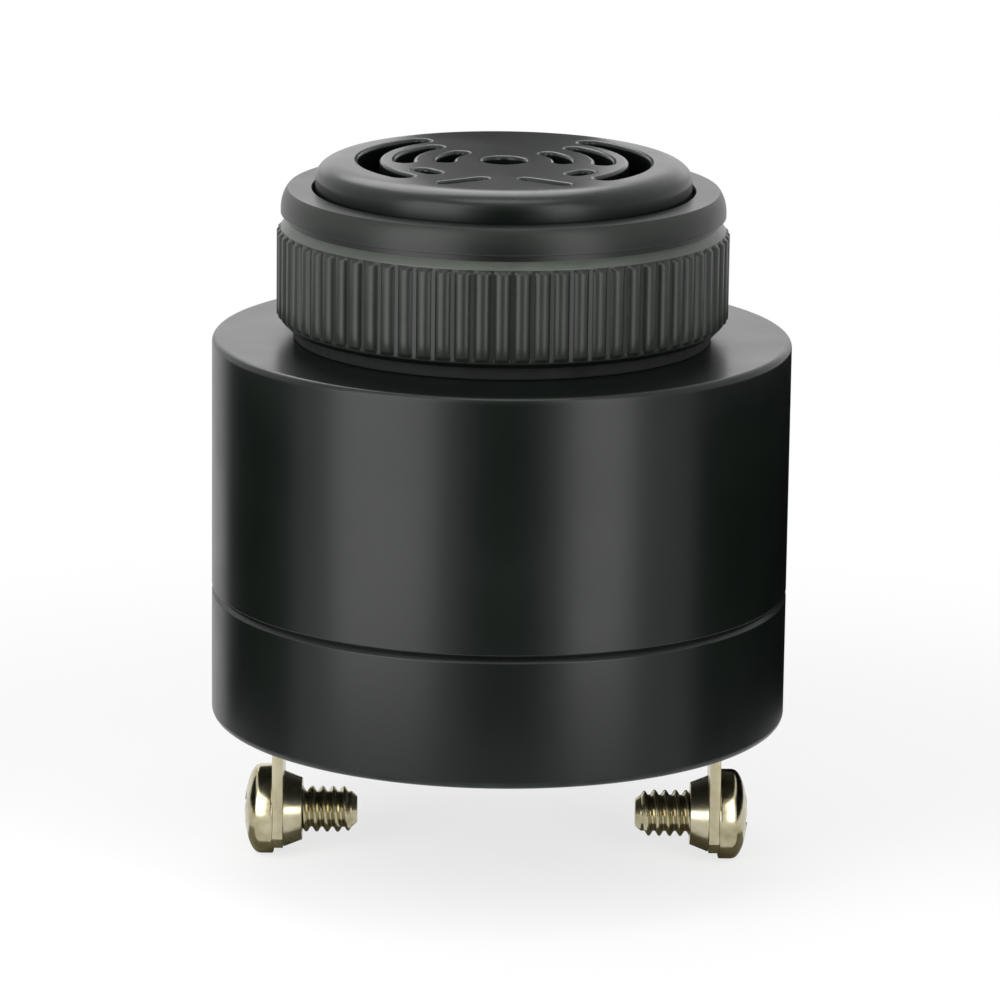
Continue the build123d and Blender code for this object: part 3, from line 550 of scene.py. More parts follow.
def round_outline(radius):
    """A round opening about the axis."""
    def points(grow):
        return arc((0, 0), radius + grow, 0, 2 * math.pi, 48)[:-1]
    return points


def inside(point, outline):
    """Whether a point of the plane lies inside a closed outline."""
    odd = False
    for (x1, y1), (x2, y2) in zip(outline, outline[1:] + outline[:1]):
        if (y1 > point[1]) != (y2 > point[1]) and point[0] < (x2 - x1) * (point[1] - y1) / (y2 - y1) + x1:
            odd = not odd
    return odd


def fill_cap(bm, rim, holes):
    """Fills the flat face inside a rim and outside the holes, all of them rings of vertices."""
    rings = [rim] + holes
    verts = [vert for ring in rings for vert in ring]
    flat = [Vector((vert.co.x / MM, vert.co.y / MM)) for vert in verts]
    edges, start = [], 0
    for ring in rings:
        edges += [(start + c, start + (c + 1) % len(ring)) for c in range(len(ring))]
        start += len(ring)
    places, _, faces, sources, _, _ = geometry.delaunay_2d_cdt(flat, edges, [], 0, 1e-6)
    outlines = [[(v.co.x / MM, v.co.y / MM) for v in ring] for ring in holes]
    for face in faces:
        middle = sum((places[i] for i in face), Vector((0, 0))) / len(face)
        if not any(inside(middle, outline) for outline in outlines):
            bm.faces.new([verts[sources[i][0]] for i in face])


def pierce(bm, rim_one, rim_two, outlines, edge):
    """Closes a shell's two flat ends with caps that the same outlines pierce, their first edges rounded."""
    near, far = rim_one[0].co.z / MM, rim_two[0].co.z / MM
    down = 1 if far > near else -1
    levels = [(edge + SLOT_SUPPORT, near, 0.1), (edge, near, 0.5)]
    for c in range(1, 6):
        a = math.pi / 2 * c / 5
        worn = math.sin(2 * a) ** 0.5 if c < 5 else 0.2
        levels.append((edge * (1 - math.sin(a)), near + down * edge * (1 - math.cos(a)), worn))
    levels += [(0.0, near + down * (edge + SLOT_SUPPORT), 0.0), (0.0, far - down * SLOT_BACK_EDGE, 0.0),
               (SLOT_BACK_EDGE * 0.3, far - down * SLOT_BACK_EDGE * 0.3, 0.0), (SLOT_BACK_EDGE, far, 0.0)]
    first_rings, last_rings = [], []
    for outline in outlines:
        rings = [ring_of(bm, outline(grow), height, worn) for grow, height, worn in levels]
        for one, two in zip(rings, rings[1:]):
            join_rings(bm, one, two)
        first_rings.append(rings[0])
        last_rings.append(rings[-1])
    fill_cap(bm, rim_one, first_rings)
    fill_cap(bm, rim_two, last_rings)


# Geometry Nodes

def start_tree(name, inputs):
    """A tree with its named inputs after the geometry, and the outputs of its input node."""
    tree = bpy.data.node_groups.new(name, "GeometryNodeTree")
    tree.interface.new_socket(name="Geometry", in_out="INPUT", socket_type="NodeSocketGeometry")
    for label, kind in inputs:
        tree.interface.new_socket(name=label, in_out="INPUT", socket_type=kind)
    tree.interface.new_socket(name="Geometry", in_out="OUTPUT", socket_type="NodeSocketGeometry")
    return tree, add(tree, "NodeGroupInput").outputs


def end_tree(tree, shape, material):
    """Every tree ends in plain geometry with its material."""
    real = add(tree, "GeometryNodeRealizeInstances", {"Geometry": shape})
    finished = add(tree, "GeometryNodeSetMaterial", {"Geometry": real.outputs[0], "Material": material})
    add(tree, "NodeGroupOutput", {"Geometry": finished.outputs[0]})


def round_the_axis():
    """A tree that repeats its piece at equal turns round Z and welds the seams."""
    tree, given = start_tree("Round the axis", [
        ("Count", "NodeSocketInt"), ("Weld", "NodeSocketFloat"), ("Material", "NodeSocketMaterial")])
    points = add(tree, "GeometryNodePoints", {"Count": given["Count"]})
    turn = add(tree, "ShaderNodeMath", {0: 2 * math.pi, 1: given["Count"]}, operation="DIVIDE")
    index = add(tree, "GeometryNodeInputIndex")
    angle = add(tree, "ShaderNodeMath", {0: index.outputs[0], 1: turn.outputs[0]}, operation="MULTIPLY")
    spin = add(tree, "ShaderNodeCombineXYZ", {"Z": angle.outputs[0]})
    copies = add(tree, "GeometryNodeInstanceOnPoints", {
        "Points": points.outputs[0], "Instance": given["Geometry"], "Rotation": spin.outputs[0]})
    real = add(tree, "GeometryNodeRealizeInstances", {"Geometry": copies.outputs[0]})
    weld = add(tree, "GeometryNodeMergeByDistance", {"Geometry": real.outputs[0], "Distance": given["Weld"]})
    end_tree(tree, weld.outputs[0], given["Material"])
    return tree


def along_a_helix():
    """A tree that sweeps its profile curve along a right-hand helix about Z, thinning out over its ends.

    In the profile, X points away from the axis and Y runs along it.
    """
    tree, given = start_tree("Along a helix", [
        ("Radius", "NodeSocketFloat"), ("Pitch", "NodeSocketFloat"), ("Turns", "NodeSocketFloat"),
        ("Start", "NodeSocketFloat"), ("Run out", "NodeSocketFloat"), ("Steps", "NodeSocketInt"),
        ("Material", "NodeSocketMaterial")])
    rise = add(tree, "ShaderNodeMath", {0: given["Pitch"], 1: given["Turns"]}, operation="MULTIPLY")
    helix = add(tree, "GeometryNodeCurveSpiral", {
        "Resolution": given["Steps"], "Rotations": given["Turns"], "Start Radius": given["Radius"],
        "End Radius": given["Radius"], "Height": rise.outputs[0], "Reverse": True})
    level = add(tree, "GeometryNodeSetCurveNormal", {"Curve": helix.outputs[0]}, mode="Z_UP")
    along = add(tree, "GeometryNodeSplineParameter").outputs["Factor"]
    back = add(tree, "ShaderNodeMath", {0: 1.0, 1: along}, operation="SUBTRACT")
    nearest = add(tree, "ShaderNodeMath", {0: along, 1: back.outputs[0]}, operation="MINIMUM")
    run_out = add(tree, "ShaderNodeMapRange", {
        "Value": nearest.outputs[0], "From Max": given["Run out"], "To Min": 0.04, "To Max": 1.0},
        interpolation_type="SMOOTHSTEP")
    swept = add(tree, "GeometryNodeCurveToMesh", {
        "Curve": level.outputs[0], "Profile Curve": given["Geometry"], "Scale": run_out.outputs[0],
        "Fill Caps": True})
    lift = add(tree, "ShaderNodeCombineXYZ", {"Z": given["Start"]})
    lifted = add(tree, "GeometryNodeTransform", {"Geometry": swept.outputs[0], "Translation": lift.outputs[0]})
    end_tree(tree, lifted.outputs[0], given["Material"])
    return tree


def run_tree(maker, name, piece, **values):
    """Runs a tree, made once, on an object with these inputs and returns the baked mesh object."""
    tree = bpy.data.node_groups.get(name) or maker()
    modifier = piece.modifiers.new(name, "NODES")
    modifier.node_group = tree
    for label, value in values.items():
        modifier[tree.interface.items_tree[label.replace("_", " ")].identifier] = value
    return bake(piece)


def profile_curve(name, points):
    """A closed flat curve to sweep."""
    curve = bpy.data.curves.new(name, "CURVE")
    curve.dimensions = "2D"
    curve.fill_mode = "NONE"
    spline = curve.splines.new("POLY")
    spline.points.add(len(points) - 1)
    for point, (x, y) in zip(spline.points, points):
        point.co = (x * MM, y * MM, 0, 1)
    spline.use_cyclic_u = True
    return placed(name, curve)


def thread_ridge(name, material, radius, depth, pitch, low, high, outward=True, run_out=0.06, steps=96):
    """The ridge of a screw thread on a cylinder between two heights, blending into it at both ends."""
    way = 1 if outward else -1
    # Half the ridge's width at its foot and at its crest, and how far it reaches into the wall
    foot, crest, root = 0.42 * pitch, 0.09 * pitch, 0.12
    flank = [(-way * root, foot), (0, foot), (way * depth * 0.9, crest * 1.4), (way * depth, crest * 0.6)]
    points = flank + [(x, -y) for x, y in reversed(flank)]
    return run_tree(
        along_a_helix, "Along a helix", profile_curve(name, points), Radius=radius * MM, Pitch=pitch * MM,
        Turns=(high - low) / pitch, Start=low * MM, Run_out=run_out, Steps=steps, Material=material)


# Materials

def start_material(name, **numbers):
    """A material with one Principled shader, whose plain numbers are set on its own sockets.

    Gives the material, its tree and the shader, or no tree and no shader where the material is there already.
    """
    material = bpy.data.materials.get(name)
    if material:
        return material, None, None
    material = bpy.data.materials.new(name)
    tree = cleared(material)
    shader = add(tree, "ShaderNodeBsdfPrincipled", {key.replace("_", " "): n for key, n in numbers.items()})
    add(tree, "ShaderNodeOutputMaterial", {"Surface": shader.outputs[0]})
    return material, tree, shader


def feed(tree, shader, **outputs):
    """Links these outputs to the shader's sockets."""
    for key, output in outputs.items():
        tree.links.new(output, shader.inputs[key.replace("_", " ")])


def mottle(tree, place, size, low, high, detail=3.0):
    """A number that drifts between two values over patches of this size in millimetres."""
    cloud = add(tree, "ShaderNodeTexNoise", {"Vector": place, "Scale": per(size), "Detail": detail})
    return add(tree, "ShaderNodeMapRange", {
        "Value": cloud.outputs[0], "From Min": 0.3, "From Max": 0.7, "To Min": low, "To Max": high}).outputs[0]


def two_tone(tree, place, size, one, two, detail=3.0):
    """A colour that drifts between two over such patches."""
    drift = mottle(tree, place, size, 0.0, 1.0, detail)
    return add(tree, "ShaderNodeMix", {0: drift, 6: one, 7: two}, data_type="RGBA").outputs[2]


def grained(tree, place, size, depth, detail=3.0):
    """A normal over grains of this size and depth in millimetres."""
    fine = add(tree, "ShaderNodeTexNoise", {"Vector": place, "Scale": per(size), "Detail": detail}).outputs[0]
    return add(tree, "ShaderNodeBump", {"Height": fine, "Distance": depth * MM, "Strength": 1.0}).outputs[0]


def moulded(name, colour, worn_colour, roughness, specular, grain, depth, even, turned=0.0):
    """A moulded plastic: fine grain from the tool, slow changes of gloss, and edges polished by handling.

    The grain is the spark-eroded skin of the tool, and its slopes are what widens the highlight. The wear is
    patchy, down to the share that even gives.
    """
    material, tree, shader = start_material(name, Specular_IOR_Level=specular)
    if tree is None:
        return material
    place = add(tree, "ShaderNodeTexCoord").outputs["Object"]
    edge = add(tree, "ShaderNodeAttribute", attribute_name="wear").outputs["Fac"]
    patch = mottle(tree, place, 2.2, even, 1.0)
    worn = add(tree, "ShaderNodeMath", {0: edge, 1: patch}, operation="MULTIPLY").outputs[0]
    skin = two_tone(tree, place, 9.0, shade(colour, 0.86), shade(colour, 1.14), 2.0)
    skin = add(tree, "ShaderNodeMix", {0: worn, 6: skin, 7: worn_colour}, data_type="RGBA").outputs[2]
    gloss = mottle(tree, place, 6.0, roughness - 0.025, roughness + 0.025, 4.0)
    polish = add(tree, "ShaderNodeMath", {0: worn, 1: 0.06}, operation="MULTIPLY").outputs[0]
    gloss = add(tree, "ShaderNodeMath", {0: gloss, 1: polish}, operation="SUBTRACT").outputs[0]
    relief = grained(tree, place, grain, depth, 2.0)
    if turned:
        relief = turning_rings(tree, place, turned, relief)
    feed(tree, shader, Base_Color=skin, Roughness=gloss, Normal=relief)
    return material


def turning_rings(tree, place, depth, relief):
    """The rings of the lathe that turned the tool's face, which show on the grille, so near its height only."""
    apart = add(tree, "ShaderNodeSeparateXYZ", {"Vector": place}).outputs
    flat = add(tree, "ShaderNodeCombineXYZ", {"X": apart["X"], "Y": apart["Y"]}).outputs[0]
    reach = add(tree, "ShaderNodeVectorMath", {0: flat}, operation="LENGTH").outputs["Value"]
    line = add(tree, "ShaderNodeCombineXYZ", {"X": reach}).outputs[0]
    rings = add(tree, "ShaderNodeTexNoise", {"Vector": line, "Scale": per(0.30), "Detail": 1.0}).outputs[0]
    on_face = add(tree, "ShaderNodeMapRange", {
        "Value": apart["Z"], "From Min": (FACE_Z - 0.25) * MM, "From Max": (FACE_Z - 0.05) * MM}).outputs[0]
    return add(tree, "ShaderNodeBump", {
        "Height": rings, "Distance": depth * MM, "Strength": on_face, "Normal": relief}).outputs[0]


def metal(name, colour, stain, roughness, grain, depth, stretch=(1.0, 1.0, 1.0)):
    """A plated or rolled metal: a fine drawn or tumbled grain and a slow stain in its colour."""
    material, tree, shader = start_material(name, Metallic=1.0)
    if tree:
        place = add(tree, "ShaderNodeTexCoord").outputs["Object"]
        drawn = add(tree, "ShaderNodeMapping", {"Vector": place, "Scale": stretch}).outputs[0]
        feed(tree, shader, Base_Color=two_tone(tree, place, 1.6, colour, stain),
             Roughness=mottle(tree, drawn, 0.7, roughness * 0.8, roughness * 1.25),
             Normal=grained(tree, drawn, grain, depth))
    return material


def coated(name, code, other_code, roughness, grain, depth, size=1.5, **numbers):
    """A dull or glossy coat, resin, rubber or ceramic: two close colours in patches over a fine grain."""
    material, tree, shader = start_material(name, **numbers)
    if tree:
        place = add(tree, "ShaderNodeTexCoord").outputs["Object"]
        feed(tree, shader, Base_Color=two_tone(tree, place, size, linear(code), linear(other_code)),
             Roughness=mottle(tree, place, size * 1.7, roughness * 0.88, roughness * 1.12),
             Normal=grained(tree, place, grain, depth))
    return material


def abs_black(context):
    """Black ABS, injection moulded in a satin tool: near-black, faintly green, with soft wide highlights."""
    body = context.scene.buzzer_body
    return moulded("moulded_abs_black", body.plastic, linear("#2b312d"), body.roughness, body.specular,
                   0.30, 0.0010, even=0.25, turned=0.003)


def nylon_black(context):
    """Black glass-filled nylon: greyer and duller than the body, with a dry, slightly rough skin."""
    nylon = context.scene.buzzer_nut.nylon
    return moulded("moulded_nylon_black", nylon, linear("#50554f"), 0.36, 0.26, 0.22, 0.0030, even=0.75)


def paint(node, material):
    """Gives a carried CAD node its finish, on the object's own material slots."""
    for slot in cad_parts[node].material_slots:
        slot.link = "OBJECT"
        slot.material = material


# Operators

class BuzzerOperator:
    """What the operators share."""
    bl_options = {"REGISTER", "UNDO"}


class BUZZER_OT_housing(BuzzerOperator, bpy.types.Operator):
    """Moulds the body with its shoulder, threaded neck and slotted grille"""
    bl_idname = "buzzer.housing"
    bl_label = "Housing and Grille"

    def execute(self, context):
        body = context.scene.buzzer_body
        material = abs_black(context)
        ridge_depth = NECK_RADIUS - NECK_ROOT_RADIUS
        pieces = [
            self.shell(body),
            thread_ridge("neck_thread", material, NECK_ROOT_RADIUS, ridge_depth, body.thread_pitch / MM,
                         1.0, NUT_TOP_Z - 1.0),
            self.shoulder_ribs(material),
        ]
        settle(merged("buzzer_housing", pieces, material), "black_abs", "housing")
        return {"FINISHED"}

    def shell(self, body):
        """The shelled body and neck, closed by the pierced grille face."""
        slope, fall = body.rim_slope / MM, body.rim_fall / MM
        wall, under = BODY_RADIUS - SIDE_WALL, SHOULDER_UNDER_Z
        bm = bmesh.new()
        rings = turn_profile(bm, crowned(RIM_RADIUS, FACE_Z, slope, fall, 0.5) + rounded([
            (RIM_RADIUS, FACE_Z - fall - 0.05), (RIM_RADIUS, NUT_TOP_Z - 0.35), (NECK_ROOT_RADIUS, NUT_TOP_Z - 0.6),
            (NECK_ROOT_RADIUS, 0.15), (NECK_ROOT_RADIUS + 0.15, 0), (BODY_RADIUS, 0, body.shoulder_edge / MM, 0.25),
            (BODY_RADIUS, SEAM_Z + SEAM_CHAMFER, CHAMFER_EDGE), (BODY_RADIUS - SEAM_CHAMFER, SEAM_Z, CHAMFER_EDGE),
            (wall, SEAM_Z), (wall, under, 0.4, 0), (RING_OUTER_RADIUS, under), (RING_OUTER_RADIUS, RING_END_Z, 0.15),
            (RING_INNER_RADIUS, RING_END_Z, 0.15), (RING_INNER_RADIUS, under), (NECK_INNER_RADIUS, under, 0.3),
            (NECK_INNER_RADIUS, CEILING_Z),
        ]))
        outlines = [round_outline(HOLE_RADIUS)]
        for side in (1, -1):
            outlines += [arc_outline(*slot, side) for slot in ARC_SLOTS]
            outlines.append(straight_outline(*SLANT_SLOT, side))
        pierce(bm, rings[0], rings[-1], outlines, body.slot_edge / MM)
        return object_from("housing_shell", bm)

    def shoulder_ribs(self, material):
        """The ribs that stiffen the shoulder from inside."""
        bm = bmesh.new()
        block(bm, *SHOULDER_RIB)
        bmesh.ops.rotate(bm, verts=bm.verts, matrix=Matrix.Rotation(math.pi / SHOULDER_RIBS, 3, "Z"))
        soften(bm, 0.12)
        return run_tree(round_the_axis, "Round the axis", object_from("shoulder_ribs", bm),
                        Count=SHOULDER_RIBS, Weld=0.0, Material=material)


class BUZZER_OT_rear_cover(BuzzerOperator, bpy.types.Operator):
    """Moulds the cup that closes the back, with its terminal slots, board posts and polarity marks"""
    bl_idname = "buzzer.rear_cover"
    bl_label = "Rear Cover"

    def execute(self, context):
        material = abs_black(context)
        bm = bmesh.new()
        rings = turn_profile(bm, rounded([
            (BODY_RADIUS - 0.9, REAR_Z), (BODY_RADIUS, REAR_Z, COVER_EDGE),
            (BODY_RADIUS, SEAM_Z - SEAM_CHAMFER, CHAMFER_EDGE), (BODY_RADIUS - SEAM_CHAMFER, SEAM_Z, CHAMFER_EDGE),
            (SPIGOT_OUTER_RADIUS, SEAM_Z), (SPIGOT_OUTER_RADIUS, SPIGOT_TOP_Z, 0.2),
            (SPIGOT_INNER_RADIUS, SPIGOT_TOP_Z, 0.2), (SPIGOT_INNER_RADIUS, COVER_FLOOR_Z),
        ]))
        pierce(bm, rings[0], rings[-1], [box_outline(*TERMINAL_SLOT, side) for side in (1, -1)], 0.15)
        pieces = [object_from("cover_shell", bm)]
        foot, top = COVER_FLOOR_Z - 1, COVER_FLOOR_Z + POST_HEIGHT
        for radius, angle in POSTS:
            turn = math.radians(angle)
            bm = bmesh.new()
            turn_profile(bm, rounded([(0, foot), (POST_RADIUS, foot), (POST_RADIUS, top, 0.2), (0, top)]), columns=48)
            bmesh.ops.translate(bm, verts=bm.verts, vec=(radius * math.cos(turn) * MM, radius * math.sin(turn) * MM, 0))
            pieces.append(object_from("post", bm))
        for x, length, width in POLARITY_BARS:
            bm = bmesh.new()
            block(bm, (x, 0, REAR_Z - 0.05), (length, width, POLARITY_BAR_HEIGHT))
            soften(bm, 0.08)
            pieces.append(object_from("mark", bm))
        settle(merged("buzzer_rear_cover", pieces, material), "black_abs", "rear_cover")
        return {"FINISHED"}


class BUZZER_OT_ring_nut(BuzzerOperator, bpy.types.Operator):
    """Moulds one rib of the ring nut and repeats it round the axis, then cuts the thread in its bore"""
    bl_idname = "buzzer.ring_nut"
    bl_label = "Ring Nut"

    def execute(self, context):
        nut = context.scene.buzzer_nut
        material = nylon_black(context)
        band = run_tree(round_the_axis, "Round the axis", self.sector(nut), Count=nut.ribs, Weld=2e-6,
                        Material=material)
        pitch = context.scene.buzzer_body.thread_pitch / MM
        ridge = thread_ridge("nut_thread", material, NUT_BORE_RADIUS, NUT_THREAD_DEPTH, pitch, NUT_FOOT_Z + 0.75,
                             NUT_TOP_Z - 1.0, outward=False)
        settle(merged("buzzer_ring_nut", [band, ridge], material, 40.0), "black_nylon", "ring_nut")
        return {"FINISHED"}

    def sector(self, nut):
        """The slice of the nut that holds one rib: the nut's whole profile, swept from one gap to the next."""
        depth = nut.rib_depth / MM
        root, crown = NUT_RADIUS - depth, NUT_RADIUS - 0.3
        knurl = NUT_FOOT_Z + KNURL_HEIGHT
        ledge = knurl + LEDGE_RISE
        groove = ledge + GROOVE_RISE
        rows = rounded([
            (NUT_BORE_RADIUS, NUT_FOOT_Z + 0.3), (NUT_BORE_RADIUS + 0.3, NUT_FOOT_Z), (root - 0.4, NUT_FOOT_Z),
            (root, NUT_FOOT_Z + 0.4, 0.15), (root, knurl, 0.15), (crown - GROOVE_DEPTH, ledge, 0.05, 0),
            (crown - GROOVE_DEPTH, groove + 0.05), (crown, groove + 0.15, 0.06), (crown, groove + 0.25),
        ]) + crowned(crown, NUT_TOP_Z, nut.crown_run / MM, nut.crown_fall / MM, 0.4, 34.0)[::-1] + [
            (crown - 0.75, NUT_TOP_Z, 0.0), (NUT_BORE_RADIUS + 0.12, NUT_TOP_Z, 0.0),
            (NUT_BORE_RADIUS, NUT_TOP_Z - 0.15, 0.0)]

        # The ribs rise on the straight wall between these heights, and run out smoothly at both
        low, high = NUT_FOOT_Z + 0.45, knurl - 0.02
        heights = [low + RIB_END * s for s in (0.0, 0.35, 0.7, 1.0)]
        heights += [low + (high - low) * s for s in (0.2, 0.4, 0.6, 0.8)]
        heights += [high - RIB_END * s for s in (1.0, 0.7, 0.35, 0.0)]
        rows = ([row for row in rows if row[1] < low] + [(root, height, 0.0) for height in heights]
                + [row for row in rows if row[1] > high])
        columns = [-s for s in reversed(RIB_COLUMNS)] + RIB_COLUMNS

        bm = bmesh.new()
        wear = bm.verts.layers.float.new("wear")
        grid = []
        for radius, height, worn in rows:
            ramp = min(1.0, max(0.0, min(height - low, high - height) / RIB_END))
            ramp = ramp * ramp * (3 - 2 * ramp) if radius == root else 0.0
            dust = KNURL_DUST if low <= height <= high else 1.0 if high < height <= ledge else 0.0
            line = []
            for s in columns:
                reach = radius + depth * ramp * max(0.0, 1 - (abs(s) / RIB_HALF_WIDTH) ** 2.4)
                angle = 2 * math.pi * s / nut.ribs
                vert = bm.verts.new((reach * math.cos(angle) * MM, reach * math.sin(angle) * MM, height * MM))
                polish = RIB_POLISH * ramp if abs(s) < RIB_HALF_TOP else 0.0
                vert[wear] = max(worn * 0.3, dust + polish)
                line.append(vert)
            grid.append(line)
        for one, two in zip(grid, grid[1:] + grid[:1]):
            for c in range(len(columns) - 1):
                bm.faces.new((one[c], one[c + 1], two[c + 1], two[c]))
        return object_from("nut_sector", bm, outward=False)


class BUZZER_OT_gasket(BuzzerOperator, bpy.types.Operator):
    """Cuts the flat rubber washer under the ring nut"""
    bl_idname = "buzzer.gasket"
    bl_label = "Panel Gasket"

    def execute(self, context):
        # Nitrile rubber, cut from sheet: matt black, faintly dusty
        material = coated("nitrile_rubber", "#101311", "#191c1a", 0.75, 0.18, 0.006, Specular_IOR_Level=0.3)
        inner, outer, top, edge = GASKET_BORE_RADIUS, GASKET_RADIUS, NUT_FOOT_Z, GASKET_EDGE
        middle = (inner + outer) / 2
        points = rounded([(middle, 0), (outer, 0, edge), (outer, top, edge), (inner, top, edge), (inner, 0, edge),
                          (middle, 0)])
        bm = bmesh.new()
        turn_profile(bm, points[:-1], columns=192, closed=True)
        settle(object_from("buzzer_gasket", bm, material), "gasket_rubber", "panel_gasket")
        return {"FINISHED"}


class BUZZER_OT_terminals(BuzzerOperator, bpy.types.Operator):
    """Rounds the stamped edges of the two plated terminals"""
    bl_idname = "buzzer.terminals"
    bl_label = "Terminals"

    def execute(self, context):
        metals = context.scene.buzzer_metal
        # Nickel on stamped brass: warm, fairly bright, with the faint lines of rolled strip
        material = metal("nickel_plated_brass", metals.nickel, linear("#b2a988"), 0.24, 0.10, 0.0012,
                         (1.0, 1.0, 0.2))
        for node in ("terminal_right", "terminal_left"):
            bm = bmesh.new()
            bm.from_mesh(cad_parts[node].data)
            bmesh.ops.remove_doubles(bm, verts=bm.verts, dist=1e-6)
            bmesh.ops.dissolve_limit(bm, angle_limit=math.radians(2), verts=bm.verts, edges=bm.edges)
            for face in bm.faces:
                face.material_index = 0
            piece = object_from("buzzer_" + node, bm, material)
            rounding = piece.modifiers.new("Stamped edge", "BEVEL")
            rounding.width = metals.tab_edge
            rounding.segments = 3
            rounding.limit_method = "ANGLE"
            rounding.angle_limit = math.radians(SHARP)
            piece = bake(piece)
            piece.data.set_sharp_from_angle(angle=math.radians(40))
            settle(piece, "nickel_brass", node)
        return {"FINISHED"}


class BUZZER_OT_terminal_screws(BuzzerOperator, bpy.types.Operator):
    """Makes the two pan head screws with their cross recess and rolled thread"""
    bl_idname = "buzzer.terminal_screws"
    bl_label = "Terminal Screws"

    def execute(self, context):
        metals = context.scene.buzzer_metal
        # Nickel on steel wire, cold headed: bright and warm, softly tumbled
        material = metal("nickel_plated_steel", metals.steel, linear("#a59c7b"), 0.2, 0.16, 0.0016)
        seat = SCREW_TOP_X - HEAD_HEIGHT
        tip = SCREW_TIP_X - seat
        for side, node, angle in SCREWS:
            pieces = [
                self.head(),
                self.shank(tip),
                thread_ridge("screw_thread", material, SCREW_ROOT_RADIUS, SCREW_THREAD_DEPTH,
                             metals.screw_pitch / MM, tip + 0.35, -0.55, run_out=0.09, steps=48),
            ]
            piece = merged("buzzer_" + node, pieces, material)
            lean = Matrix.Rotation(math.radians(angle), 4, "Z")
            lay = Matrix.Rotation(side * math.pi / 2, 4, "Y")
            piece.data.transform(Matrix.Translation((side * seat * MM, 0, SCREW_Z * MM)) @ lay @ lean)
            settle(piece, "plated_steel", node)
        return {"FINISHED"}

    def shank(self, tip):
        """The pointed core of the thread, from its tip up into the head, whose underside is at height 0."""
        bm = bmesh.new()
        turn_profile(bm, rounded([
            (0, tip), (1.0, tip, 0.12), (SCREW_ROOT_RADIUS, tip + 0.45, 0.1), (SCREW_ROOT_RADIUS, -0.9),
            (1.5, -0.25, 0.2), (SCREW_NECK_RADIUS, -0.02), (SCREW_NECK_RADIUS, 0.3), (0, 0.3)]), columns=48)
        return object_from("shank", bm)

    def head(self):
        """The pan head with its tapered cross recess."""
        radius = SCREW_HEAD_RADIUS
        angles = [math.radians(d) for d in range(78, 0, -6)]
        bm = bmesh.new()
        turn_profile(bm, rounded([(0, 0), (radius, 0, 0.15), (radius, HEAD_SIDE)])
                     + [(radius * math.sin(a), HEAD_SIDE + HEAD_DOME * math.cos(a), 0.0) for a in angles]
                     + [(0, HEAD_HEIGHT, 0.0)], columns=96)
        head = object_from("head", bm)
        bm = bmesh.new()
        for turn in (0, 90):
            arm = bmesh.ops.create_cube(bm, size=1.0)["verts"]
            for vert in arm:
                half, thick, height = RECESS_TOP if vert.co.z > 0 else RECESS_BOTTOM
                vert.co = (math.copysign(half, vert.co.x) * MM, math.copysign(thick, vert.co.y) * MM, height * MM)
            bmesh.ops.rotate(bm, verts=arm, matrix=Matrix.Rotation(math.radians(turn), 3, "Z"))
        cutter = object_from("cross", bm)
        cut = head.modifiers.new("Cross", "BOOLEAN")
        cut.operation = "DIFFERENCE"
        cut.object = cutter
        cut.solver = "EXACT"
        cut.use_self = True
        edge = head.modifiers.new("Soft edge", "BEVEL")
        edge.width = 0.04 * MM
        edge.segments = 2
        edge.angle_limit = math.radians(38)
        head = bake(head)
        discard(cutter)
        return head


class BUZZER_OT_sounder(BuzzerOperator, bpy.types.Operator):
    """Finishes the sound chamber, the piezo disc and its silicone bead"""
    bl_idname = "buzzer.sounder"
    bl_label = "Sound Chamber and Piezo Disc"

    def execute(self, context):
        paint("sound_chamber", nylon_black(context))
        # Half-hard brass sheet, blanked: yellow, with the long faint lines of rolling
        paint("piezo_plate", metal("rolled_brass_sheet", context.scene.buzzer_inside.brass, linear("#b58f45"),
                                   0.28, 0.08, 0.0010, (0.15, 1.0, 1.0)))
        # Lead zirconate titanate with a fired silver electrode: pale grey, dry and even
        paint("piezo_ceramic", coated("silvered_piezo_ceramic", "#cfcdc4", "#bdbbb1", 0.5, 0.12, 0.002,
                                      Metallic=0.35))
        # Neutral-cure silicone, laid wet: milky, softly glossy
        paint("silicone_bead", coated("silicone_sealant", "#d9dad6", "#c9cbc8", 0.35, 0.5, 0.004,
                                      Subsurface_Weight=0.2, Subsurface_Scale=0.0006))
        return {"FINISHED"}


class BUZZER_OT_board(BuzzerOperator, bpy.types.Operator):
    """Finishes the circuit board and its solder"""
    bl_idname = "buzzer.board"
    bl_label = "Circuit Board"

    def execute(self, context):
        # Woven glass in epoxy under a green lacquer: the weave shows as a faint grid
        material, tree, shader = start_material("glass_epoxy_laminate", Roughness=0.38, Coat_Weight=0.3,
                                                Coat_Roughness=0.2)
        if tree:
            place = add(tree, "ShaderNodeTexCoord").outputs["Object"]
            waves = [add(tree, "ShaderNodeTexWave", {"Vector": place, "Scale": per(4.4), "Distortion": 1.2},
                         bands_direction=way).outputs["Fac"] for way in ("X", "Y")]
            weave = add(tree, "ShaderNodeMath", {0: waves[0], 1: waves[1]}, operation="MULTIPLY").outputs[0]
            green = context.scene.buzzer_inside.laminate
            lacquer = add(tree, "ShaderNodeMix", {0: weave, 6: shade(green, 0.8), 7: shade(green, 1.15)},
                          data_type="RGBA")
            relief = add(tree, "ShaderNodeBump", {"Height": weave, "Distance": 0.006 * MM, "Strength": 1.0})
            feed(tree, shader, Base_Color=lacquer.outputs[2], Normal=relief.outputs[0])
        paint("circuit_board", material)
        # Tin solder, wetted: bright grey with a slow satin
        paint("solder_joints", metal("tin_solder", linear("#c4c6c8"), linear("#a9acae"), 0.3, 0.3, 0.004))
        return {"FINISHED"}


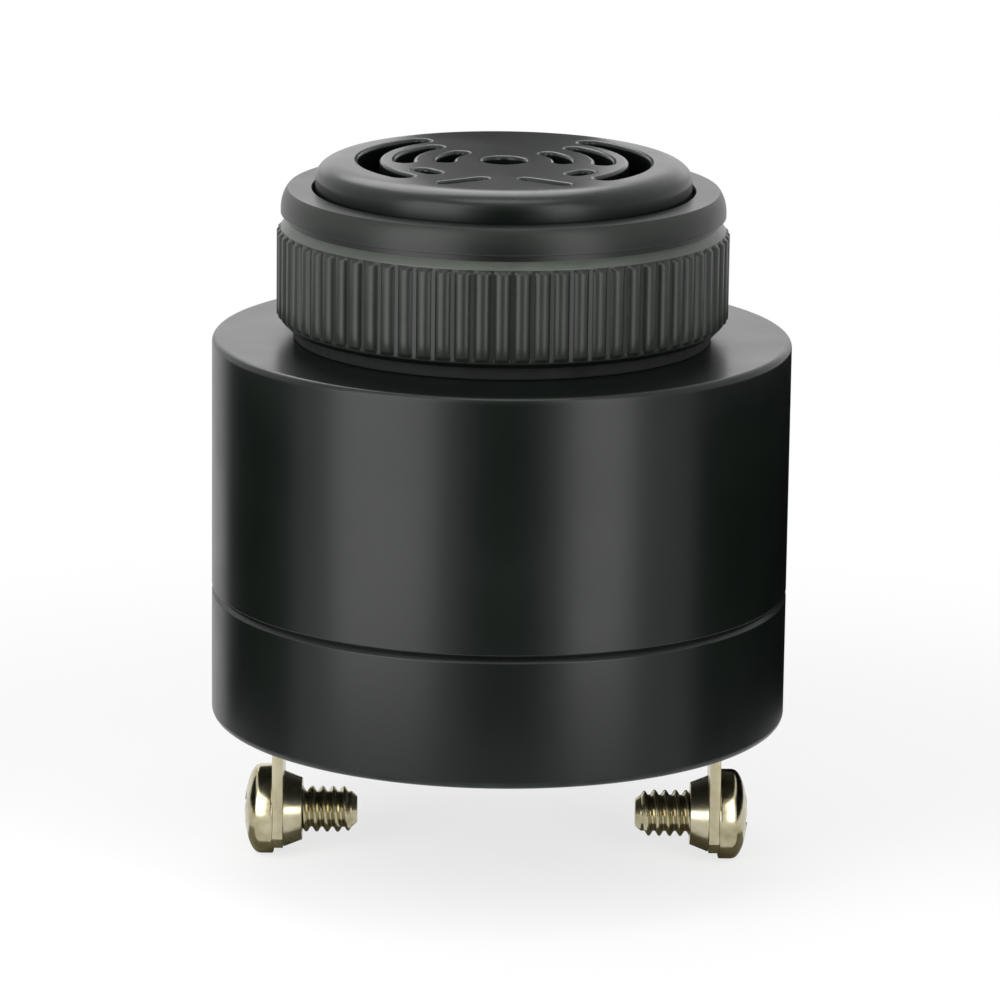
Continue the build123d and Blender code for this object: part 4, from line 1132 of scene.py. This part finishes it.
class BUZZER_OT_coil(BuzzerOperator, bpy.types.Operator):
    """Winds the enamelled wire on the drum core"""
    bl_idname = "buzzer.coil"
    bl_label = "Coil"

    def execute(self, context):
        # Sintered ferrite: dark grey, stony, slightly sparkling
        paint("coil_core", coated("sintered_ferrite", "#2a2a2c", "#3a3a3d", 0.55, 0.12, 0.006))
        # Polyurethane enamel on copper: a glossy clear red-brown over metal
        material = metal("enamelled_copper", linear("#a5532b"), linear("#8c4020"), 0.3, 0.2, 0.0010)
        (left, front, low), (right, rear, high) = [
            [corner("coil_winding", side, axis) for axis in range(3)] for side in (0, 1)]
        outer = (right - left) / 2
        wire = context.scene.buzzer_inside.winding_wire / MM
        half = wire / 2
        under = outer - wire * 0.6
        top_layer = run_tree(
            along_a_helix, "Along a helix", profile_curve("winding", arc((0, 0), half, 0, 2 * math.pi, 8)[:-1]),
            Radius=(outer - half) * MM, Pitch=wire * MM, Turns=(high - low - wire) / wire,
            Start=(low + half) * MM, Run_out=0.001, Steps=40, Material=material)
        bm = bmesh.new()
        turn_profile(bm, [(COIL_CORE_RADIUS, low, 0), (under, low, 0), (under, high, 0), (COIL_CORE_RADIUS, high, 0)],
                     columns=48, closed=True)
        piece = merged("buzzer_winding", [top_layer, object_from("under_layers", bm)], material, 50.0)
        piece.data.transform(Matrix.Translation(((right + left) / 2 * MM, (rear + front) / 2 * MM, 0)))
        settle(piece, "enamelled_copper", "coil_winding")
        return {"FINISHED"}


class BUZZER_OT_components(BuzzerOperator, bpy.types.Operator):
    """Finishes the capacitor, chip, transistor, diode, resistors, disc capacitors and their legs"""
    bl_idname = "buzzer.components"
    bl_label = "Board Components"

    def execute(self, context):
        # Aluminium can in a shrunk vinyl sleeve: dark blue, glossy
        paint("capacitor", coated("vinyl_sleeved_can", "#1d2c58", "#22346a", 0.3, 0.4, 0.002))
        # Filled epoxy, transfer moulded: dull black
        compound = coated("epoxy_moulding_compound", "#17181a", "#202124", 0.6, 0.1, 0.004)
        for node in ("transistor", "driver_chip", "diode"):
            paint(node, compound)
        # Tin over copper wire: bright, soft grey
        tin = metal("tinned_copper_wire", linear("#cfd0d0"), linear("#b9baba"), 0.25, 0.12, 0.0010)
        paint("component_leads", tin)
        paint("driver_pins", tin)
        # Phenolic dip on ceramic discs: matt ochre
        paint("disc_capacitors", coated("phenolic_dipped_ceramic", "#b9772c", "#a96a24", 0.6, 0.25, 0.008))
        self.banded_resistors()
        return {"FINISHED"}

    def banded_resistors(self):
        """Beige lacquer with colour bands painted across the resistors, which lie along X."""
        material, tree, shader = start_material("banded_resistor_lacquer", Roughness=0.35, Coat_Weight=0.2)
        if tree:
            place = add(tree, "ShaderNodeTexCoord").outputs["Object"]
            across = add(tree, "ShaderNodeSeparateXYZ", {"Vector": place}).outputs["X"]
            colour = two_tone(tree, place, 0.8, linear("#d8bf8e"), linear("#cdb27e"))
            for middle, code in ((-2.1, "#7a3a1c"), (-1.0, "#151515"), (0.0, "#c8521c"), (1.9, "#b58a2e")):
                band = add(tree, "ShaderNodeMath", {0: across, 1: middle * MM, 2: 0.25 * MM},
                           operation="COMPARE").outputs[0]
                colour = add(tree, "ShaderNodeMix", {0: band, 6: colour, 7: linear(code)},
                             data_type="RGBA").outputs[2]
            feed(tree, shader, Base_Color=colour)
        paint("resistors", material)


class BUZZER_OT_leads(BuzzerOperator, bpy.types.Operator):
    """Finishes the three insulated leads"""
    bl_idname = "buzzer.leads"
    bl_label = "Insulated Leads"

    def execute(self, context):
        # Extruded PVC: even colour, soft gloss, faint draw marks
        for colour, code, other_code in (("red", "#a3221c", "#95201b"), ("blue", "#1f4f9c", "#1c478c"),
                                         ("black", "#141416", "#1a1a1c")):
            paint("lead_" + colour, coated("pvc_insulation_" + colour, code, other_code, 0.4, 0.3, 0.003))
        return {"FINISHED"}


class BUZZER_OT_stage(BuzzerOperator, bpy.types.Operator):
    """Lays the floor, hangs the lamps and sets the camera"""
    bl_idname = "buzzer.stage"
    bl_label = "Stage"

    def execute(self, context):
        stage = context.scene.buzzer_stage
        self.floor(stage)
        self.world(context.scene, stage)
        self.lamps(stage)
        self.cards()
        self.camera(context.scene, stage)
        context.scene.view_settings.view_transform = "Standard"
        return {"FINISHED"}

    def floor(self, stage):
        """Matt white paper under the object. Seen directly or mirrored it is white, and it keeps the shadow near."""
        material = bpy.data.materials.new("matt_white_paper")
        tree = cleared(material)
        place = add(tree, "ShaderNodeTexCoord").outputs["Object"]
        fibre = mottle(tree, place, 0.6, 0.985, 1.0)
        tone = add(tree, "ShaderNodeMix", {0: fibre, 6: shade(stage.floor, 0.97), 7: stage.floor},
                   data_type="RGBA").outputs[2]
        paper = add(tree, "ShaderNodeBsdfDiffuse", {"Color": tone, "Roughness": 0.6})
        white = add(tree, "ShaderNodeEmission", {"Color": (1, 1, 1), "Strength": 1.0})
        reach = add(tree, "ShaderNodeVectorMath", {0: place}, operation="LENGTH").outputs["Value"]
        far = add(tree, "ShaderNodeMapRange", {
            "Value": reach, "From Min": SHADOW_NEAR, "From Max": SHADOW_FAR, "To Min": WHITE_SHARE, "To Max": 1.0},
            interpolation_type="SMOOTHSTEP").outputs[0]
        share = add(tree, "ShaderNodeMath", {0: seen_directly(tree), 1: far}, operation="MULTIPLY").outputs[0]
        mixed = add(tree, "ShaderNodeMixShader", {0: share, 1: paper.outputs[0], 2: white.outputs[0]})
        # From below the paper is clear, so that the terminals and the rear face can be looked at
        below = add(tree, "ShaderNodeNewGeometry").outputs["Backfacing"]
        clear = add(tree, "ShaderNodeBsdfTransparent")
        sheet = add(tree, "ShaderNodeMixShader", {0: below, 1: mixed.outputs[0], 2: clear.outputs[0]})
        add(tree, "ShaderNodeOutputMaterial", {"Surface": sheet.outputs[0]})
        bm = bmesh.new()
        bmesh.ops.create_grid(bm, x_segments=8, y_segments=8, size=3.0)
        bmesh.ops.translate(bm, verts=bm.verts, vec=(0, 0, FLOOR_Z * MM))
        piece = object_from("floor", bm, material, outward=False)

    def world(self, scene, stage):
        """White where it is seen or mirrored, and a dimmer soft light for everything else."""
        world = bpy.data.worlds.new("Studio")
        tree = cleared(world)
        strength = add(tree, "ShaderNodeMapRange", {
            "Value": seen_directly(tree), "To Min": stage.ambient, "To Max": 1.0}).outputs[0]
        light = add(tree, "ShaderNodeBackground", {"Color": (1, 1, 1), "Strength": strength})
        add(tree, "ShaderNodeOutputWorld", {"Surface": light.outputs[0]})
        scene.world = world

    def lamps(self, stage):
        """Three soft lamps hang over and behind the object, and a softbox stands at each side of the camera."""
        for name, (size, place) in LAMPS.items():
            lamp(name, getattr(stage, name), size, Vector(place), Vector(LAMP_AIM))
        middle = FLOOR_Z * MM + SOFTBOX_HEIGHT / 2
        for name, (azimuth, width) in SOFTBOXES.items():
            lamp(name, getattr(stage, name), (width, SOFTBOX_HEIGHT), around(azimuth, SOFTBOX_RADIUS, middle),
                 Vector((0, 0, middle)))

    def cards(self):
        """Dark cards keep the gloss of the body deep between the softboxes, as a photographer of black things does.

        A grey card of painted shade lies under each screw, seen only in mirrors, so that the lower half of its head and
        shank turns dark as in the shadow under the object.
        """
        floor = FLOOR_Z * MM
        for name, (first, last, radius, high) in DARK_CARDS.items():
            steps = max(2, round((last - first) / 6))
            angles = [first + (last - first) * c / steps for c in range(steps + 1)]
            card(name, "black_card", "#050505", [[around(a, radius, z) for a in angles] for z in (floor, high)])
        # Painted shade: grey cards that only mirrors see, standing for the shadow under the object in the screws'
        # reflection
        for name, side in (("card_under_right", 1), ("card_under_left", -1)):
            card(name, "grey_card", "#8b8877", [
                [Vector((side * x * MM, y * MM, floor + SHADE_CARD_LIFT * MM)) for x in SHADE_CARD_X]
                for y in SHADE_CARD_Y])

    def camera(self, scene, stage):
        """The photograph's view of the object."""
        data = bpy.data.cameras.new("camera")
        data.lens = stage.lens
        data.sensor_width = 36
        data.clip_start = 0.01
        data.shift_y = CAMERA_SHIFT
        camera = placed("camera", data)
        turn = Matrix.Rotation(math.pi / 2 - stage.pitch, 4, "X") @ Matrix.Rotation(stage.roll, 4, "Z")
        camera.matrix_world = Matrix.Translation((0, -stage.distance, stage.height)) @ turn
        scene.camera = camera


def seen_directly(tree):
    """1 for what the camera sees, also in a mirror or through glass, and 0 for other light."""
    path = add(tree, "ShaderNodeLightPath").outputs
    seen = add(tree, "ShaderNodeMath", {0: path["Is Camera Ray"], 1: path["Is Glossy Ray"]}, operation="MAXIMUM")
    return add(tree, "ShaderNodeMath", {0: seen.outputs[0], 1: path["Is Transmission Ray"]},
               operation="MAXIMUM").outputs[0]


def lamp(name, power, size, place, aim):
    """A soft rectangular lamp that the camera doesn't see."""
    data = bpy.data.lights.new(name, "AREA")
    data.shape = "RECTANGLE"
    data.size, data.size_y = size
    data.energy = power
    light = placed(name, data)
    light.matrix_world = Matrix.Translation(place) @ (aim - place).to_track_quat("-Z", "Y").to_matrix().to_4x4()
    light.visible_camera = False


def around(azimuth, radius, height):
    """A place round the object, by its angle in degrees from the camera's side towards the right."""
    turn = math.radians(azimuth - 90)
    return Vector((radius * math.cos(turn), radius * math.sin(turn), height))


def card(name, stock, code, rows):
    """A sheet of matt card that only mirrors see, between two rows of places."""
    material, tree, shader = start_material(stock, Roughness=0.9, Specular_IOR_Level=0.0)
    if tree:
        place = add(tree, "ShaderNodeTexCoord").outputs["Object"]
        feed(tree, shader, Base_Color=two_tone(tree, place, 3.0, linear(code), shade(linear(code), 1.3)))
    bm = bmesh.new()
    one, two = [[bm.verts.new(place) for place in row] for row in rows]
    for c in range(len(one) - 1):
        bm.faces.new((one[c], one[c + 1], two[c + 1], two[c]))
    sheet = object_from(name, bm, material, outward=False)
    sheet.visible_camera = sheet.visible_diffuse = sheet.visible_shadow = False


class BUZZER_PT_panel(bpy.types.Panel):
    """Lists the steps and the settings in the sidebar"""
    bl_idname = "BUZZER_PT_panel"
    bl_label = "Panel Buzzer"
    bl_space_type = "VIEW_3D"
    bl_region_type = "UI"
    bl_category = "Buzzer"

    def draw(self, context):
        for label, group in (("Body", "buzzer_body"), ("Ring nut", "buzzer_nut"), ("Terminals", "buzzer_metal"),
                             ("Inside", "buzzer_inside"), ("Stage", "buzzer_stage")):
            box = self.layout.box()
            box.label(text=label)
            settings = getattr(context.scene, group)
            for name in settings.__annotations__:
                box.prop(settings, name)
        column = self.layout.column(align=True)
        for operator in OPERATORS:
            column.operator(operator.bl_idname)


GROUPS = {"buzzer_body": BuzzerBody, "buzzer_nut": BuzzerNut, "buzzer_metal": BuzzerMetal,
          "buzzer_inside": BuzzerInside, "buzzer_stage": BuzzerStage}
OPERATORS = [BUZZER_OT_housing, BUZZER_OT_rear_cover, BUZZER_OT_ring_nut, BUZZER_OT_gasket,
             BUZZER_OT_terminals, BUZZER_OT_terminal_screws, BUZZER_OT_sounder, BUZZER_OT_board,
             BUZZER_OT_coil, BUZZER_OT_components, BUZZER_OT_leads, BUZZER_OT_stage]


def register():
    """Registers the settings, the operators and the panel."""
    for name, group in GROUPS.items():
        bpy.utils.register_class(group)
        setattr(bpy.types.Scene, name, PointerProperty(type=group))
    for cls in OPERATORS + [BUZZER_PT_panel]:
        bpy.utils.register_class(cls)


def unregister():
    """Takes them away again."""
    for cls in reversed(OPERATORS + [BUZZER_PT_panel]):
        bpy.utils.unregister_class(cls)
    for name, group in GROUPS.items():
        delattr(bpy.types.Scene, name)
        bpy.utils.unregister_class(group)


def main():
    """Builds every piece and the stage."""
    register()
    for operator in OPERATORS:
        family, step = operator.bl_idname.split(".")
        getattr(getattr(bpy.ops, family), step)()


if __name__ == "__main__":
    main()
